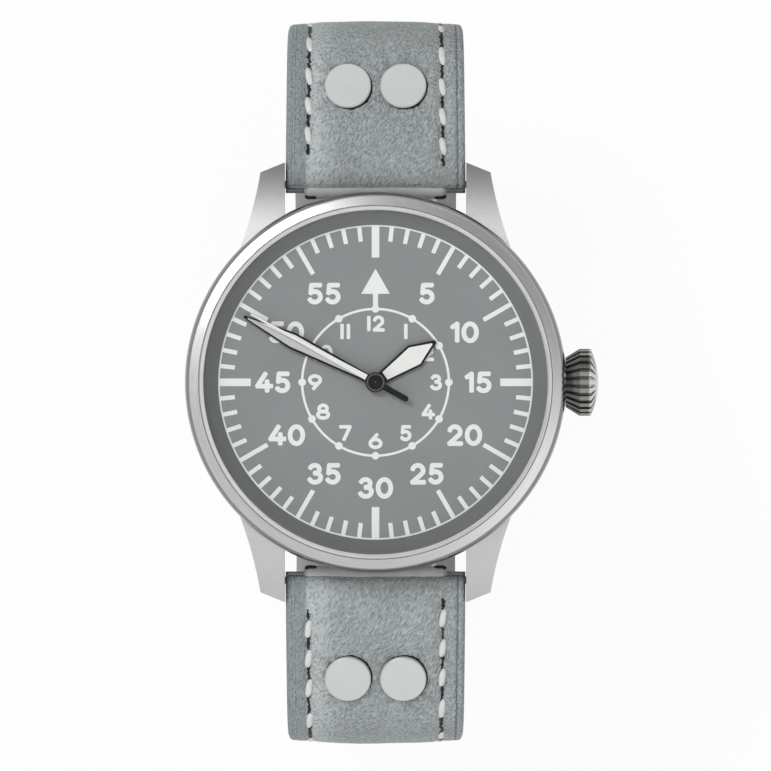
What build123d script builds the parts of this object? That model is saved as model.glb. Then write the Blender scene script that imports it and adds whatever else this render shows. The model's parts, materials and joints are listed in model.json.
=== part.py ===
from build123d import *
from math import atan2, cos, degrees, hypot, radians, sin, sqrt
import os

# Pilot watch on a riveted leather strap, standing on the tail of its strap, in millimetres.
# +Z leaves the dial, +Y points to 12 o'clock and +X to the crown. The origin lies on the hands' axis,
# on the surface that the strap's tail rests on.
os.makedirs("parts", exist_ok=True)

# Strap route. Each half leaves its spring bar and runs out, over a bend and down.
lug_run_radius = 90.0
bend_radius = 6.0
side_radius = 75.0
foot_radius = 16.0
curl_radius = 25.0
long_half_length = 115.0
short_half_length = 75.0
lug_run_start_angle = 12.0
lug_run_end_angle = 20.0
side_end_angle = 112.0
down_angle = 90.0
flat_angle = 180.0

# Strap section
strap_gap = 0.1
strap_root_thickness = 3.8
strap_padded_thickness = 4.4
strap_bent_thickness = 3.6
strap_thin_thickness = 2.6
strap_start_behind_bar = 1.02
strap_bend_width = 19.2
strap_end_width = 18.0
lining_thickness = 0.9
bar_loop_width = 15.7
bar_loop_radius = 1.6
tail_tip_length = 9.0
tail_tip_width = 6.0
strap_hole_radius = 1.0
strap_hole_pitch = 6.5
strap_hole_count = 6
strap_hole_tip_margin = 12.0

# Spring bars
spring_bar_radius = 0.75
spring_bar_end_gap = 0.4
spring_pin_radius = 0.4
spring_pin_length = 0.9
strap_bore_gap = 0.05

# Rivets
rivet_reach_along = 10.5
rivet_spacing = 6.1
rivet_head_radius = 2.55
rivet_head_thickness = 0.5
rivet_shank_radius = 0.9
rivet_back_radius = 1.8
rivet_back_thickness = 0.3

# Buckle and keepers
buckle_bar_radius = 0.6
buckle_side_gap = 0.2
buckle_rail_width = 1.9
buckle_thickness = 1.8
buckle_reach = 9.0
buckle_front_width = 2.0
buckle_corner_radius = 2.2
tongue_width = 2.0
tongue_thickness = 0.8
tongue_eye_wall = 0.5
tongue_overhang = 0.9
tongue_slot_gap = 0.2
tongue_slot_length = 4.0
keeper_width = 4.0
keeper_wall = 1.1
keeper_gap = 0.15
keeper_spare = 2.9
fixed_keeper_from_bar = 6.0
free_keeper_from_bar = 10.4

# Case. Heights in the head are counted from the outer face of the case back.
lug_gap = 20.0
bar_height = 2.4
bar_clearance = 0.95
case_radius = 20.85
case_waist_inset = 0.55
case_foot_inset = 1.65
case_low = 0.9
case_waist_height = 1.9
case_top = 7.7
case_low_wall = 3.45
movement_ledge_width = 0.2
dial_ledge_width = 0.9
case_waist_radius = case_radius - case_waist_inset
case_foot_radius = case_radius - case_foot_inset
bar_reach = case_radius + bar_clearance
back_bore_radius = case_radius - case_low_wall
back_bore_top = 2.3
ring_bore_radius = back_bore_radius + movement_ledge_width
ring_bore_top = 6.6
dial_bore_radius = ring_bore_radius + dial_ledge_width

# Lugs. Each place along Y is counted from the spring bar or from the side of the case.
lug_past_bar = 2.4
lug_tip_slant = 1.1
lug_hollow_behind_bar = 2.5
lug_back_behind_bar = 0.5
lug_root_inset = 6.35
lug_start_inset = 8.85
lug_inner_tip_reach = bar_reach + lug_past_bar
lug_outer_tip_reach = lug_inner_tip_reach - lug_tip_slant
lug_outer_tip_half = 12.66
lug_hollow_reach = bar_reach - lug_hollow_behind_bar
lug_hollow_half = 13.45
lug_root_reach = case_radius - lug_root_inset
lug_root_half = 14.97
lug_start_reach = case_radius - lug_start_inset
lug_tip_low = 0.6
lug_tip_high = 3.4
lug_shoulder_reach = lug_root_reach
lug_shoulder_high = 7.6
lug_back_reach = bar_reach - lug_back_behind_bar
lug_back_high = 5.75
strap_relief_gap = 0.2

# Bezel, crystal and flange ring, from the outside in
bezel_overhang = 0.1
bezel_flank_lean = 0.55
bezel_top_width = 1.05
bezel_ledge_width = 0.33
crystal_gasket_width = 0.35
flange_ledge_gap = 0.07
flange_width = 1.65
bezel_radius = case_radius + bezel_overhang
bezel_flank_low = 8.0
bezel_shoulder_radius = bezel_radius - bezel_flank_lean
bezel_shoulder_high = 9.4
bezel_flank_bulge = 0.12
bezel_inner_radius = bezel_shoulder_radius - bezel_top_width
bezel_top = 9.7
bezel_chamfer = 0.12
bezel_ledge_radius = bezel_inner_radius - bezel_ledge_width
bezel_ledge_top = 8.5
crystal_radius = bezel_inner_radius - crystal_gasket_width
crystal_low = 8.6
crystal_edge_top = 9.75
crystal_chamfer = 0.2
crystal_top = 10.4
flange_outer_radius = bezel_ledge_radius - flange_ledge_gap
flange_inner_radius = flange_outer_radius - flange_width
flange_top_width = 0.25
flange_toe_height = 0.2
fit_gap = 0.03

# Case back and gaskets
back_rim_width = 1.2
back_plate_top = 1.2
back_edge_chamfer = 0.3
back_thread_wall = 1.2
back_thread_top = 2.0
back_notch_count = 6
back_notch_width = 3.0
back_notch_depth = 0.9
back_notch_height = 0.5
gasket_inset = 0.3
gasket_width = 0.6
gasket_low = 0.7
gasket_high = 1.1
back_radius = back_bore_radius + back_rim_width
back_thread_inner_radius = back_bore_radius - back_thread_wall
gasket_inner_radius = back_bore_radius + gasket_inset
gasket_outer_radius = gasket_inner_radius + gasket_width

# Crown, tube and stem. Distances along the stem are counted from the hands' axis.
stem_height = 4.3
crown_gap = 0.05
crown_start = case_radius + crown_gap
crown_length = 3.6
crown_root_radius = 2.73
crown_full_radius = 3.68
crown_full_start_share = 0.43
crown_full_end_share = 0.77
crown_flute_count = 25
crown_flute_share = 0.46
crown_flute_end_share = 0.6
crown_flute_depth = 0.3
crown_bore_radius = 1.35
crown_bore_depth = 1.8
crown_seat_depth = 0.9
tube_radius = 1.0
tube_bore_radius = 0.5
tube_ledge_gap = 0.2
tube_reach_in_crown = 1.2
tube_start = ring_bore_radius + tube_ledge_gap
tube_end = crown_start + tube_reach_in_crown
crown_gasket_inset = 0.2
crown_gasket_start = crown_start + crown_gasket_inset
crown_gasket_length = 0.6
stem_radius = 0.4
stem_start = 6.2
clutch_start = 6.7
clutch_length = 1.3
clutch_radius = 0.85
winding_pinion_start = 8.1
winding_pinion_length = 0.9
winding_pinion_radius = 1.55
winding_leaf_depth = 0.3
pinion_leaf_count = 12
pinion_leaf_depth = 0.15
pinion_pocket_gap = 0.15

# Dial and its printing
dial_low = 6.65
dial_top = 7.05
dial_edge_gap = 0.1
dial_radius = dial_bore_radius - dial_edge_gap
dial_hole_radius = 1.05
dial_foot_radius = 0.35
dial_foot_circle_radius = 11.2
dial_foot_low = 5.6
dial_foot_angles = (200.0, 345.0)
print_thickness = 0.05
track_radius = flange_inner_radius
track_line = 0.19
minute_tick_length = 1.77
minute_tick_width = 0.48
five_tick_length = 3.6
five_tick_width = 0.5
quarter_tick_width = 0.84
hour_ring_radius = 8.06
hour_ring_line = 0.27
hour_dot_radius = 0.42
twelve_triangle_reach = 12.48
twelve_triangle_height = 2.76
twelve_triangle_width = 3.15
twelve_stem_width = 0.56

# Hands. Angles are clockwise from 12 o'clock.
hour_hand_angle = 55.8
minute_hand_angle = 296.6
seconds_hand_angle = 298.6
hour_hand_length = 8.0
hour_hand_half = 1.33
hour_hand_root_half = 0.55
hour_hand_widest = 5.2
hour_hand_low = 7.3
minute_hand_short_of_track = 1.15
minute_hand_length = track_radius - minute_hand_short_of_track
minute_hand_half = 0.93
minute_hand_root_half = 0.42
minute_hand_widest = 10.2
minute_hand_low = 7.62
hand_thickness = 0.16
hand_tip_half = 0.15
hand_rim = 0.24
lume_thickness = 0.05
lume_hub_gap = 0.15
seconds_hand_low = 7.96
seconds_hand_short_of_track = 1.7
seconds_hand_length = track_radius - seconds_hand_short_of_track
seconds_tail_length = 4.08
seconds_tail_half = 0.33
seconds_tip_half = 0.08
seconds_hub_radius = 1.1
lume_start = seconds_hub_radius + lume_hub_gap
seconds_cap_radius = 0.45
seconds_cap_height = 0.18
hour_hub_radius = 1.12
minute_hub_radius = 1.05

# Movement plates
movement_radius = 12.8
rim_wall = 0.5
plate_low = 5.15
plate_top = 6.6
bridge_low = 2.75
bridge_top = 3.55
bridge_split_offset = 2.2
bridge_split_gap = 0.1
bridge_split_angle = 45.0
barrel_bridge_edge_offset = 2.5
train_bridge_edge_offset = 1.4
train_bridge_edge_angle = -20.0
pivot_radius = 0.1
pivot_gap = 0.02
jewel_radius = 0.45
jewel_thickness = 0.25
screw_head_radius = 0.75
screw_head_thickness = 0.3
screw_shank_radius = 0.4
screw_slot_width = 0.16
screw_circle_radius = 11.3
screw_hold_depth = 0.5
pillar_radius = 0.8
barrel_bridge_screw_angles = (20.0, 118.0)
train_bridge_screw_angles = (150.0, 235.0)
stem_block_width = 1.4
stem_block_length = 0.7
plate_gap = 0.1

# Going train: centre distances, levels and teeth. A pinion's tips stay a mesh gap from its wheel.
mesh_gap = 0.03
wheel_thickness = 0.12
arbor_radius = 0.16
centre_tube_radius = 0.32
centre_tube_bore = 0.19
third_distance = 5.0
third_angle = 175.0
escape_distance = 4.8
escape_angle = -100.0
barrel_distance = 6.6
barrel_angle = 60.0
centre_wheel_teeth = 80
third_pinion_leaves = 10
third_wheel_teeth = 75
fourth_pinion_leaves = 10
fourth_wheel_teeth = 80
escape_pinion_leaves = 8
barrel_teeth = 72
centre_pinion_leaves = 12
escape_teeth = 20
escape_radius = 2.2
escape_tooth_depth = 0.45
centre_wheel_low = 4.47
third_wheel_low = 4.08
fourth_wheel_low = 3.74
escape_wheel_low = 4.28
centre_pinion_low = 4.68
pinion_overlap = 0.05
tooth_depth_share = 0.05
wheel_rim_share = 0.16
wheel_spoke_width = 0.45
wheel_hub_radius = 0.6

# Barrel, ratchet wheel, crown wheel and click
barrel_low = 4.72
barrel_top = 5.7
barrel_rim_thickness = 0.3
barrel_drum_radius = 5.25
barrel_wall = 0.25
barrel_bore_radius = 0.75
barrel_gap = 0.1
barrel_arbor_radius = 0.7
barrel_arbor_bore_gap = 0.03
mainspring_strip = 0.14
mainspring_turns = 5
mainspring_outer_radius = 4.85
mainspring_inner_radius = 2.6
ratchet_radius = 3.3
ratchet_teeth = 32
ratchet_low = 2.38
ratchet_thickness = 0.3
crown_wheel_teeth = 24
crown_wheel_x = 7.6
crown_wheel_y = 1.9
crown_wheel_axle_radius = 0.4
winding_tooth_depth = 0.25
click_angle = 140.0
click_radius = 0.7
click_beak_length = 0.5
click_axle_radius = 0.25

# Balance and pallets
balance_distance = 8.2
balance_angle = -65.0
balance_radius = 3.9
balance_rim_width = 0.45
balance_rim_low = 3.4
balance_rim_thickness = 0.3
balance_arm_width = 0.6
balance_staff_radius = 0.2
roller_radius = 0.8
roller_low = 4.3
roller_thickness = 0.15
impulse_pin_radius = 0.12
hairspring_outer_radius = 2.1
hairspring_inner_radius = 0.6
hairspring_turns = 5
hairspring_strip = 0.06
hairspring_low = 3.27
hairspring_thickness = 0.1
cock_thickness = 0.48
cock_end_radius = 1.2
cock_foot_x = 9.6
cock_foot_y = -4.0
pallet_low = 4.26
pallet_thickness = 0.14
pallet_pivot_share = 0.49
pallet_arm_length = 1.5
pallet_arm_half = 0.16
pallet_horn_half = 0.3
pallet_span_half = 1.5
pallet_reach_gap = 0.2
pallet_cock_low = 3.84
pallet_cock_thickness = 0.22
pallet_post_radius = 0.5
pallet_post_offset = 2.6

# Motion works under the dial
motion_distance = 2.4
motion_angle = -60.0
motion_recess_floor = 6.1
motion_recess_gap = 0.15
cannon_leaves = 12
minute_wheel_teeth = 36
minute_pinion_leaves = 10
hour_wheel_teeth = 40
motion_wheel_thickness = 0.14
motion_first_low = 6.15
motion_second_low = 6.36
cannon_radius = 0.5
hour_tube_radius = 0.8
hour_tube_bore = 0.53

# Rotor
rotor_low = 1.75
rotor_plate_thickness = 0.3
rotor_radius = 12.6
rotor_weight_width = 2.0
rotor_weight_top = 2.6
rotor_hub_radius = 2.4
rotor_bore_radius = 1.0
rotor_bearing_gap = 0.04
rotor_window_count = 3
rotor_window_radius = 1.7
rotor_window_circle_radius = 6.8
rotor_window_spread = 48.0
rotor_rest_angle = 200.0
rotor_bearing_cap_radius = 1.5
rotor_bearing_cap_thickness = 0.18

cut_overrun = 1.0
half_turn = 180.0
full_turn = 360.0


def rod(radius, low, high, x=0.0, y=0.0):
    """Upright round bar between two heights."""
    return Pos(x, y, low) * extrude(Circle(radius), high - low)


def ring(outer, inner, low, high, x=0.0, y=0.0):
    """Upright tube between two heights."""
    return Pos(x, y, low) * extrude(Circle(outer) - Circle(inner), high - low)


def cross_rod(radius, start, end, y, z):
    """Round bar along X."""
    return Pos(start, y, z) * Rot(0, 90, 0) * extrude(Circle(radius), end - start)


def cross_ring(outer, inner, start, end, y, z):
    """Tube along X."""
    return Pos(start, y, z) * Rot(0, 90, 0) * extrude(Circle(outer) - Circle(inner), end - start)


def turned(points):
    """Solid turned about Z from (radius, height) corners."""
    return revolve(Plane.XZ * make_face(Polyline(*points, close=True)), Axis.Z)


def polar(radius, angle):
    return radius * cos(radians(angle)), radius * sin(radians(angle))


# Strap route

def arc_piece(radius, turn):
    return (radius * radians(turn), turn)


lug_run = arc_piece(lug_run_radius, lug_run_end_angle - lug_run_start_angle)
bend = arc_piece(bend_radius, down_angle - lug_run_end_angle)
side = arc_piece(side_radius, side_end_angle - down_angle)
foot = arc_piece(foot_radius, flat_angle - side_end_angle)
curl = arc_piece(curl_radius, flat_angle - down_angle)
tail = (long_half_length - lug_run[0] - bend[0] - side[0] - foot[0], 0)
buckle_run = (short_half_length - lug_run[0] - bend[0] - curl[0], 0)
long_route = [lug_run, bend, side, foot, tail]
short_route = [lug_run, bend, curl, buckle_run]
long_thickness = [strap_root_thickness, strap_padded_thickness, strap_bent_thickness,
                  strap_thin_thickness, strap_thin_thickness, strap_thin_thickness]
short_thickness = [strap_root_thickness, strap_padded_thickness, strap_bent_thickness,
                   strap_thin_thickness, strap_thin_thickness]


def route_step(reach, z, heading, piece, share):
    """Place a share of the way along one piece. Headings turn from straight out to straight down."""
    length, turn = piece
    start = radians(heading)
    if turn == 0:
        return reach + length * share * cos(start), z - length * share * sin(start), heading
    end = radians(heading + turn * share)
    radius = length / radians(turn)
    return (reach + radius * (sin(end) - sin(start)), z + radius * (cos(end) - cos(start)),
            heading + turn * share)


def route_drop(route):
    z, heading = 0.0, lug_run_start_angle
    for piece in route:
        _, z, heading = route_step(0.0, z, heading, piece, 1.0)
    return -z


bar_z = route_drop(long_route) + strap_thin_thickness / 2
head_z = bar_z - bar_height


def route_ends(route):
    """Start of each piece of a route, and its very end, as (reach, z, heading)."""
    places = [(bar_reach, bar_z, lug_run_start_angle)]
    for piece in route:
        places.append(route_step(*places[-1], piece, 1.0))
    return places


def beside(place, offset):
    """Point beside the route, offset towards the outer face of the strap."""
    reach, z, heading = place
    return reach + offset * sin(radians(heading)), z + offset * cos(radians(heading))


def strap_edge(route, thickness, side_of):
    """Edges along one face of the strap. side_of gives the offset from a thickness."""
    edges = []
    places = route_ends(route)
    for index, piece in enumerate(route):
        first, last = thickness[index], thickness[index + 1]
        start = beside(places[index], side_of(first))
        end = beside(places[index + 1], side_of(last))
        middle = beside(route_step(*places[index], piece, 0.5), side_of((first + last) / 2))
        edges.append(Line(start, end) if piece[1] == 0 else ThreePointArc(start, middle, end))
    return edges


def strap_layer(route, thickness, top_of, low_of, width):
    """Layer of the strap between two offsets, full width, drawn in the Y-Z plane."""
    upper = strap_edge(route, thickness, top_of)
    lower = strap_edge(route, thickness, low_of)
    bar = (bar_reach, bar_z, lug_run_start_angle)
    behind = route_step(*bar, (-strap_start_behind_bar, 0), 1.0)
    root = thickness[0]
    back_top = beside(behind, top_of(root))
    back_low = beside(behind, low_of(root))
    edges = [Line(back_top, upper[0] @ 0)] + upper + [Line(upper[-1] @ 1, lower[-1] @ 1)]
    edges += lower + [Line(back_low, lower[0] @ 0), Line(back_top, back_low)]
    return extrude(Plane.YZ * make_face(edges), width / 2, both=True)


def taper_block():
    """Space that narrows the strap from its lug end to its thin end, seen along Y."""
    places = route_ends(short_route)
    bend_z = places[2][1]
    thin_z = places[-1][1]
    root_half = lug_gap / 2 - strap_gap
    low = -cut_overrun
    high = bar_z + strap_padded_thickness
    corners = [(root_half, high), (root_half, bar_z), (strap_bend_width / 2, bend_z),
               (strap_end_width / 2, thin_z), (strap_end_width / 2, low)]
    outline = corners + [(-x, z) for x, z in reversed(corners)]
    block = Plane.XZ * make_face(Polyline(*outline, close=True))
    return extrude(block, bar_reach * 2, both=True)


def outer_of(thickness):
    return thickness / 2


def inner_of(thickness):
    return -thickness / 2


def lining_top_of(thickness):
    return lining_thickness - thickness / 2


def rivet(x, place, thickness):
    """Rivet through the strap: head outside, shank, and a flat washer on the lining."""
    reach, z = beside(place, 0.0)
    heading = radians(place[2])
    frame = Plane(origin=(x, reach, z), x_dir=(1, 0, 0), z_dir=(0, sin(heading), cos(heading)))
    half = thickness / 2
    head = rod(rivet_head_radius, half, half + rivet_head_thickness)
    head = chamfer(head.edges().sort_by(Axis.Z)[-1], rivet_head_thickness / 4)
    shank = rod(rivet_shank_radius, -half - rivet_back_thickness, half)
    back = rod(rivet_back_radius, -half - rivet_back_thickness, -half)
    return frame.location * (head + shank + back)


def strap_half(route, thickness, lining_route, lining_steps):
    """Leather, lining and rivets of a half, built towards +Y."""
    width = lug_gap - 2 * strap_gap
    block = strap_layer(route, thickness, outer_of, inner_of, width)
    lining = strap_layer(lining_route, lining_steps, lining_top_of, inner_of, width)
    loop = cross_rod(bar_loop_radius, -bar_loop_width / 2, bar_loop_width / 2, bar_reach, bar_z)
    bore = cross_rod(spring_bar_radius + strap_bore_gap, -lug_gap, lug_gap, bar_reach, bar_z)
    taper = taper_block()
    leather = ((block & taper) + loop) - lining - bore
    lining = (lining & taper) - bore
    share = rivet_reach_along / route[0][0]
    place = route_step(bar_reach, bar_z, lug_run_start_angle, route[0], share)
    middle = thickness[0] + (thickness[1] - thickness[0]) * share
    rivets = [rivet(sign * rivet_spacing / 2, place, middle) for sign in (-1, 1)]
    for piece in rivets:
        leather -= piece
        lining -= piece
    return leather, lining, Compound(rivets)


def long_half():
    """The half at 6 o'clock, still drawn towards +Y: holes and a pointed end in its flat tail."""
    leather, lining, rivets = strap_half(long_route, long_thickness, long_route, long_thickness)
    end_reach = route_ends(long_route)[-1][0]
    tip_start = end_reach + tail_tip_length
    half = strap_end_width / 2
    tip = make_face([Line((-half, tip_start), (half, tip_start)),
                     ThreePointArc((half, tip_start), ((half + tail_tip_width / 2) / 2 + half / 10,
                                   tip_start - tail_tip_length / 2), (tail_tip_width / 2, end_reach)),
                     Line((tail_tip_width / 2, end_reach), (-tail_tip_width / 2, end_reach)),
                     ThreePointArc((-tail_tip_width / 2, end_reach),
                                   (-(half + tail_tip_width / 2) / 2 - half / 10,
                                    tip_start - tail_tip_length / 2), (-half, tip_start))])
    corner_low, corner_high = -cut_overrun, strap_thin_thickness + cut_overrun
    waste = Pos(0, tip_start - tail_tip_length, corner_low) * extrude(
        Rectangle(lug_gap, 2 * tail_tip_length), corner_high - corner_low)
    waste -= Pos(0, 0, corner_low) * extrude(tip, corner_high - corner_low)
    leather -= waste
    lining -= waste
    for index in range(strap_hole_count):
        reach = end_reach + strap_hole_tip_margin + index * strap_hole_pitch
        hole = rod(strap_hole_radius, corner_low, corner_high, 0.0, reach)
        leather -= hole
        lining -= hole
    return leather, lining, rivets


def short_half():
    """The half at 12 o'clock: its end folds round the buckle bar and is slotted for the tongue."""
    lining_run = (buckle_run[0] - tongue_slot_length, 0)
    lining_route = short_route[:-1] + [lining_run]
    leather, lining, rivets = strap_half(short_route, short_thickness, lining_route, short_thickness)
    reach, z = buckle_place()
    half = strap_end_width / 2
    leather += cross_rod(strap_thin_thickness / 2, -half, half, reach, z)
    leather -= cross_rod(buckle_bar_radius + strap_bore_gap, -lug_gap, lug_gap, reach, z)
    slot = Pos(0, reach + tongue_slot_length / 2 - strap_thin_thickness / 2, z) * Box(
        tongue_width + 2 * tongue_slot_gap, tongue_slot_length + strap_thin_thickness / 2,
        strap_thin_thickness + cut_overrun)
    return leather - slot, lining, rivets


def buckle_place():
    """Reach and height of the buckle bar."""
    reach, z, _ = route_ends(short_route)[-1]
    return reach, z


# Buckle and keepers

def buckle_parts():
    """Frame, bar and tongue, with the strap lying flat and its outer face downwards."""
    reach, z = buckle_place()
    inner_half = strap_end_width / 2 + buckle_side_gap
    outer_half = inner_half + buckle_rail_width
    ear_radius = buckle_thickness / 2 + buckle_side_gap
    front = reach - buckle_reach
    body = Pos(0, (front + reach) / 2) * Rectangle(2 * outer_half, buckle_reach)
    body = fillet(body.vertices().group_by(Axis.Y)[0], buckle_corner_radius)
    window = Pos(0, (front + buckle_front_width + reach + ear_radius + cut_overrun) / 2) * Rectangle(
        2 * inner_half, reach + ear_radius + cut_overrun - front - buckle_front_width)
    frame = Pos(0, 0, z - buckle_thickness / 2) * extrude(body - window, buckle_thickness)
    for sign in (-1, 1):
        inner = sign * inner_half if sign > 0 else -outer_half
        frame += cross_rod(ear_radius, inner, inner + buckle_rail_width, reach, z)
    edges = frame.edges().filter_by(GeomType.LINE).filter_by(Axis.X).group_by(Axis.Y)[0]
    frame = fillet(edges, buckle_thickness / 3)
    bar = cross_rod(buckle_bar_radius, -outer_half, outer_half, reach, z)
    frame -= bar
    eye = buckle_bar_radius + strap_bore_gap
    eye_radius = eye + tongue_eye_wall
    over = z - buckle_thickness / 2 - fit_gap
    tip_reach = front - tongue_overhang
    finger = Plane.YZ * make_face(Polyline(
        (reach, z - eye), (reach, z - eye_radius), (front + buckle_front_width, over - tongue_thickness),
        (tip_reach, over - tongue_thickness / 2), (tip_reach, over), (front + buckle_front_width, over),
        close=True))
    tongue = extrude(finger, tongue_width / 2, both=True)
    tongue += cross_rod(eye_radius, -tongue_width / 2, tongue_width / 2, reach, z)
    tongue -= cross_rod(eye, -lug_gap, lug_gap, reach, z)
    return frame, bar, tongue


def keeper(from_bar):
    """Leather loop round the short half, with room on the outer side for the tail."""
    reach, z = buckle_place()
    centre = reach + from_bar
    half = strap_end_width / 2 + keeper_gap
    top = z + strap_thin_thickness / 2 + keeper_gap
    low = z - strap_thin_thickness / 2 - keeper_gap - keeper_spare
    middle = (top + low) / 2
    outer = RectangleRounded(2 * (half + keeper_wall), top - low + 2 * keeper_wall, keeper_wall)
    inner = Rectangle(2 * half, top - low)
    band = Plane.XZ * (Pos(0, middle) * (outer - inner))
    return Pos(0, centre, 0) * extrude(band, keeper_width / 2, both=True)


# Case

def lug_outline():
    """Plan of the lug at the crown side of 12 o'clock."""
    inner = lug_gap / 2
    return make_face([
        Line((inner, lug_start_reach), (inner, lug_inner_tip_reach)),
        Line((inner, lug_inner_tip_reach), (lug_outer_tip_half, lug_outer_tip_reach)),
        ThreePointArc((lug_outer_tip_half, lug_outer_tip_reach), (lug_hollow_half, lug_hollow_reach),
                      (lug_root_half, lug_root_reach)),
        Line((lug_root_half, lug_root_reach), (lug_root_half, lug_start_reach)),
        Line((lug_root_half, lug_start_reach), (inner, lug_start_reach))])


def lug_profile():
    """Side view of a lug, falling from the case to its tip."""
    end = lug_inner_tip_reach + cut_overrun
    return make_face([
        Line((lug_start_reach, case_low), (lug_shoulder_reach, case_low)),
        Line((lug_shoulder_reach, case_low), (end, lug_tip_low)),
        Line((end, lug_tip_low), (end, lug_tip_high)),
        ThreePointArc((end, lug_tip_high), (lug_back_reach, lug_back_high),
                      (lug_shoulder_reach, lug_shoulder_high)),
        Line((lug_shoulder_reach, lug_shoulder_high), (lug_start_reach, lug_shoulder_high)),
        Line((lug_start_reach, lug_shoulder_high), (lug_start_reach, case_low))])


def strap_relief_radius():
    """The strap's root swings clear of the case inside this radius round its spring bar."""
    return hypot(strap_start_behind_bar, strap_root_thickness / 2) + strap_relief_gap


def case_middle():
    body = turned([(0, case_low), (case_foot_radius, case_low), (case_waist_radius, case_waist_height),
                   (case_radius, case_top), (0, case_top)])
    lug = extrude(lug_outline(), case_top) & extrude(Plane.YZ * lug_profile(), lug_root_half)
    for sides in (lug, lug.mirror(Plane.YZ)):
        body += sides
        body += sides.mirror(Plane.XZ)
    body -= rod(back_bore_radius, case_low - cut_overrun, back_bore_top)
    body -= rod(ring_bore_radius, back_bore_top, ring_bore_top)
    body -= rod(dial_bore_radius, ring_bore_top, dial_top)
    body -= rod(flange_outer_radius, dial_top, case_top + cut_overrun)
    body -= ring(gasket_outer_radius, gasket_inner_radius, case_low - cut_overrun, gasket_high)
    body -= cross_rod(tube_radius, 0, case_radius + cut_overrun, 0, stem_height)
    for sign in (-1, 1):
        reach = sign * bar_reach
        body -= cross_rod(strap_relief_radius(), -lug_gap / 2, lug_gap / 2, reach, bar_height)
        hole_half = lug_gap / 2 + spring_pin_length + fit_gap
        body -= cross_rod(spring_pin_radius + fit_gap, -hole_half, hole_half, reach, bar_height)
    return body


def spring_bars():
    tube_half = lug_gap / 2 - spring_bar_end_gap
    pin_half = lug_gap / 2 + spring_pin_length
    bar = (cross_rod(spring_bar_radius, -tube_half, tube_half, bar_reach, bar_height)
           + cross_rod(spring_pin_radius, -pin_half, pin_half, bar_reach, bar_height))
    return Compound([bar, Rot(0, 0, half_turn) * bar])


def bezel():
    middle_radius = (bezel_radius + bezel_shoulder_radius) / 2 + bezel_flank_bulge
    middle_height = (bezel_flank_low + bezel_shoulder_high) / 2
    outline = make_face([
        Line((bezel_ledge_radius, case_top), (case_radius, case_top)),
        Line((case_radius, case_top), (bezel_radius, bezel_flank_low)),
        ThreePointArc((bezel_radius, bezel_flank_low), (middle_radius, middle_height),
                      (bezel_shoulder_radius, bezel_shoulder_high)),
        Line((bezel_shoulder_radius, bezel_shoulder_high),
             (bezel_inner_radius + bezel_chamfer, bezel_top)),
        Line((bezel_inner_radius + bezel_chamfer, bezel_top),
             (bezel_inner_radius, bezel_top - bezel_chamfer)),
        Line((bezel_inner_radius, bezel_top - bezel_chamfer), (bezel_inner_radius, bezel_ledge_top)),
        Line((bezel_inner_radius, bezel_ledge_top), (bezel_ledge_radius, bezel_ledge_top)),
        Line((bezel_ledge_radius, bezel_ledge_top), (bezel_ledge_radius, case_top))])
    return revolve(Plane.XZ * outline, Axis.Z)


def crystal():
    edge = crystal_radius - crystal_chamfer
    rim_top = crystal_edge_top + crystal_chamfer
    rise = crystal_top - rim_top
    dome_radius = (edge ** 2 + rise ** 2) / (2 * rise)
    middle_top = crystal_top - dome_radius + sqrt(dome_radius ** 2 - (edge / 2) ** 2)
    outline = make_face([
        Line((0, crystal_low), (crystal_radius, crystal_low)),
        Line((crystal_radius, crystal_low), (crystal_radius, crystal_edge_top)),
        Line((crystal_radius, crystal_edge_top), (edge, rim_top)),
        ThreePointArc((edge, rim_top), (edge / 2, middle_top), (0, crystal_top)),
        Line((0, crystal_top), (0, crystal_low))])
    return revolve(Plane.XZ * outline, Axis.Z)


def crystal_gasket():
    return ring(bezel_inner_radius, crystal_radius, bezel_ledge_top, bezel_top - 2 * bezel_chamfer)


def flange_ring():
    top = crystal_low - fit_gap
    return turned([(flange_inner_radius, dial_top), (flange_outer_radius - fit_gap, dial_top),
                   (flange_outer_radius - fit_gap, top), (flange_outer_radius - flange_top_width, top),
                   (flange_inner_radius, dial_top + flange_toe_height)])


def case_back():
    body = turned([(0, 0), (back_radius - back_edge_chamfer, 0), (back_radius, back_edge_chamfer),
                   (back_radius, case_low), (back_bore_radius - fit_gap, case_low),
                   (back_bore_radius - fit_gap, back_thread_top),
                   (back_thread_inner_radius, back_thread_top),
                   (back_thread_inner_radius, back_plate_top), (0, back_plate_top)])
    body -= ring(gasket_outer_radius, gasket_inner_radius, gasket_low, case_low + cut_overrun)
    for index in range(back_notch_count):
        notch = Pos(back_radius, 0, 0) * Box(2 * back_notch_depth, back_notch_width,
                                             2 * back_notch_height)
        body -= Rot(0, 0, full_turn * index / back_notch_count) * notch
    return body


def case_back_gasket():
    return ring(gasket_outer_radius, gasket_inner_radius, gasket_low, gasket_high)


def movement_ring():
    body = ring(ring_bore_radius - fit_gap, movement_radius + fit_gap, back_bore_top, ring_bore_top)
    return body - cross_rod(tube_radius + fit_gap, 0, case_radius, 0, stem_height)


# Crown and stem

def along_stem(shape, start):
    """Puts a shape that was turned about Z on the stem, with its base at a distance along it."""
    return Pos(start, 0, stem_height) * Rot(0, 90, 0) * shape


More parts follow.
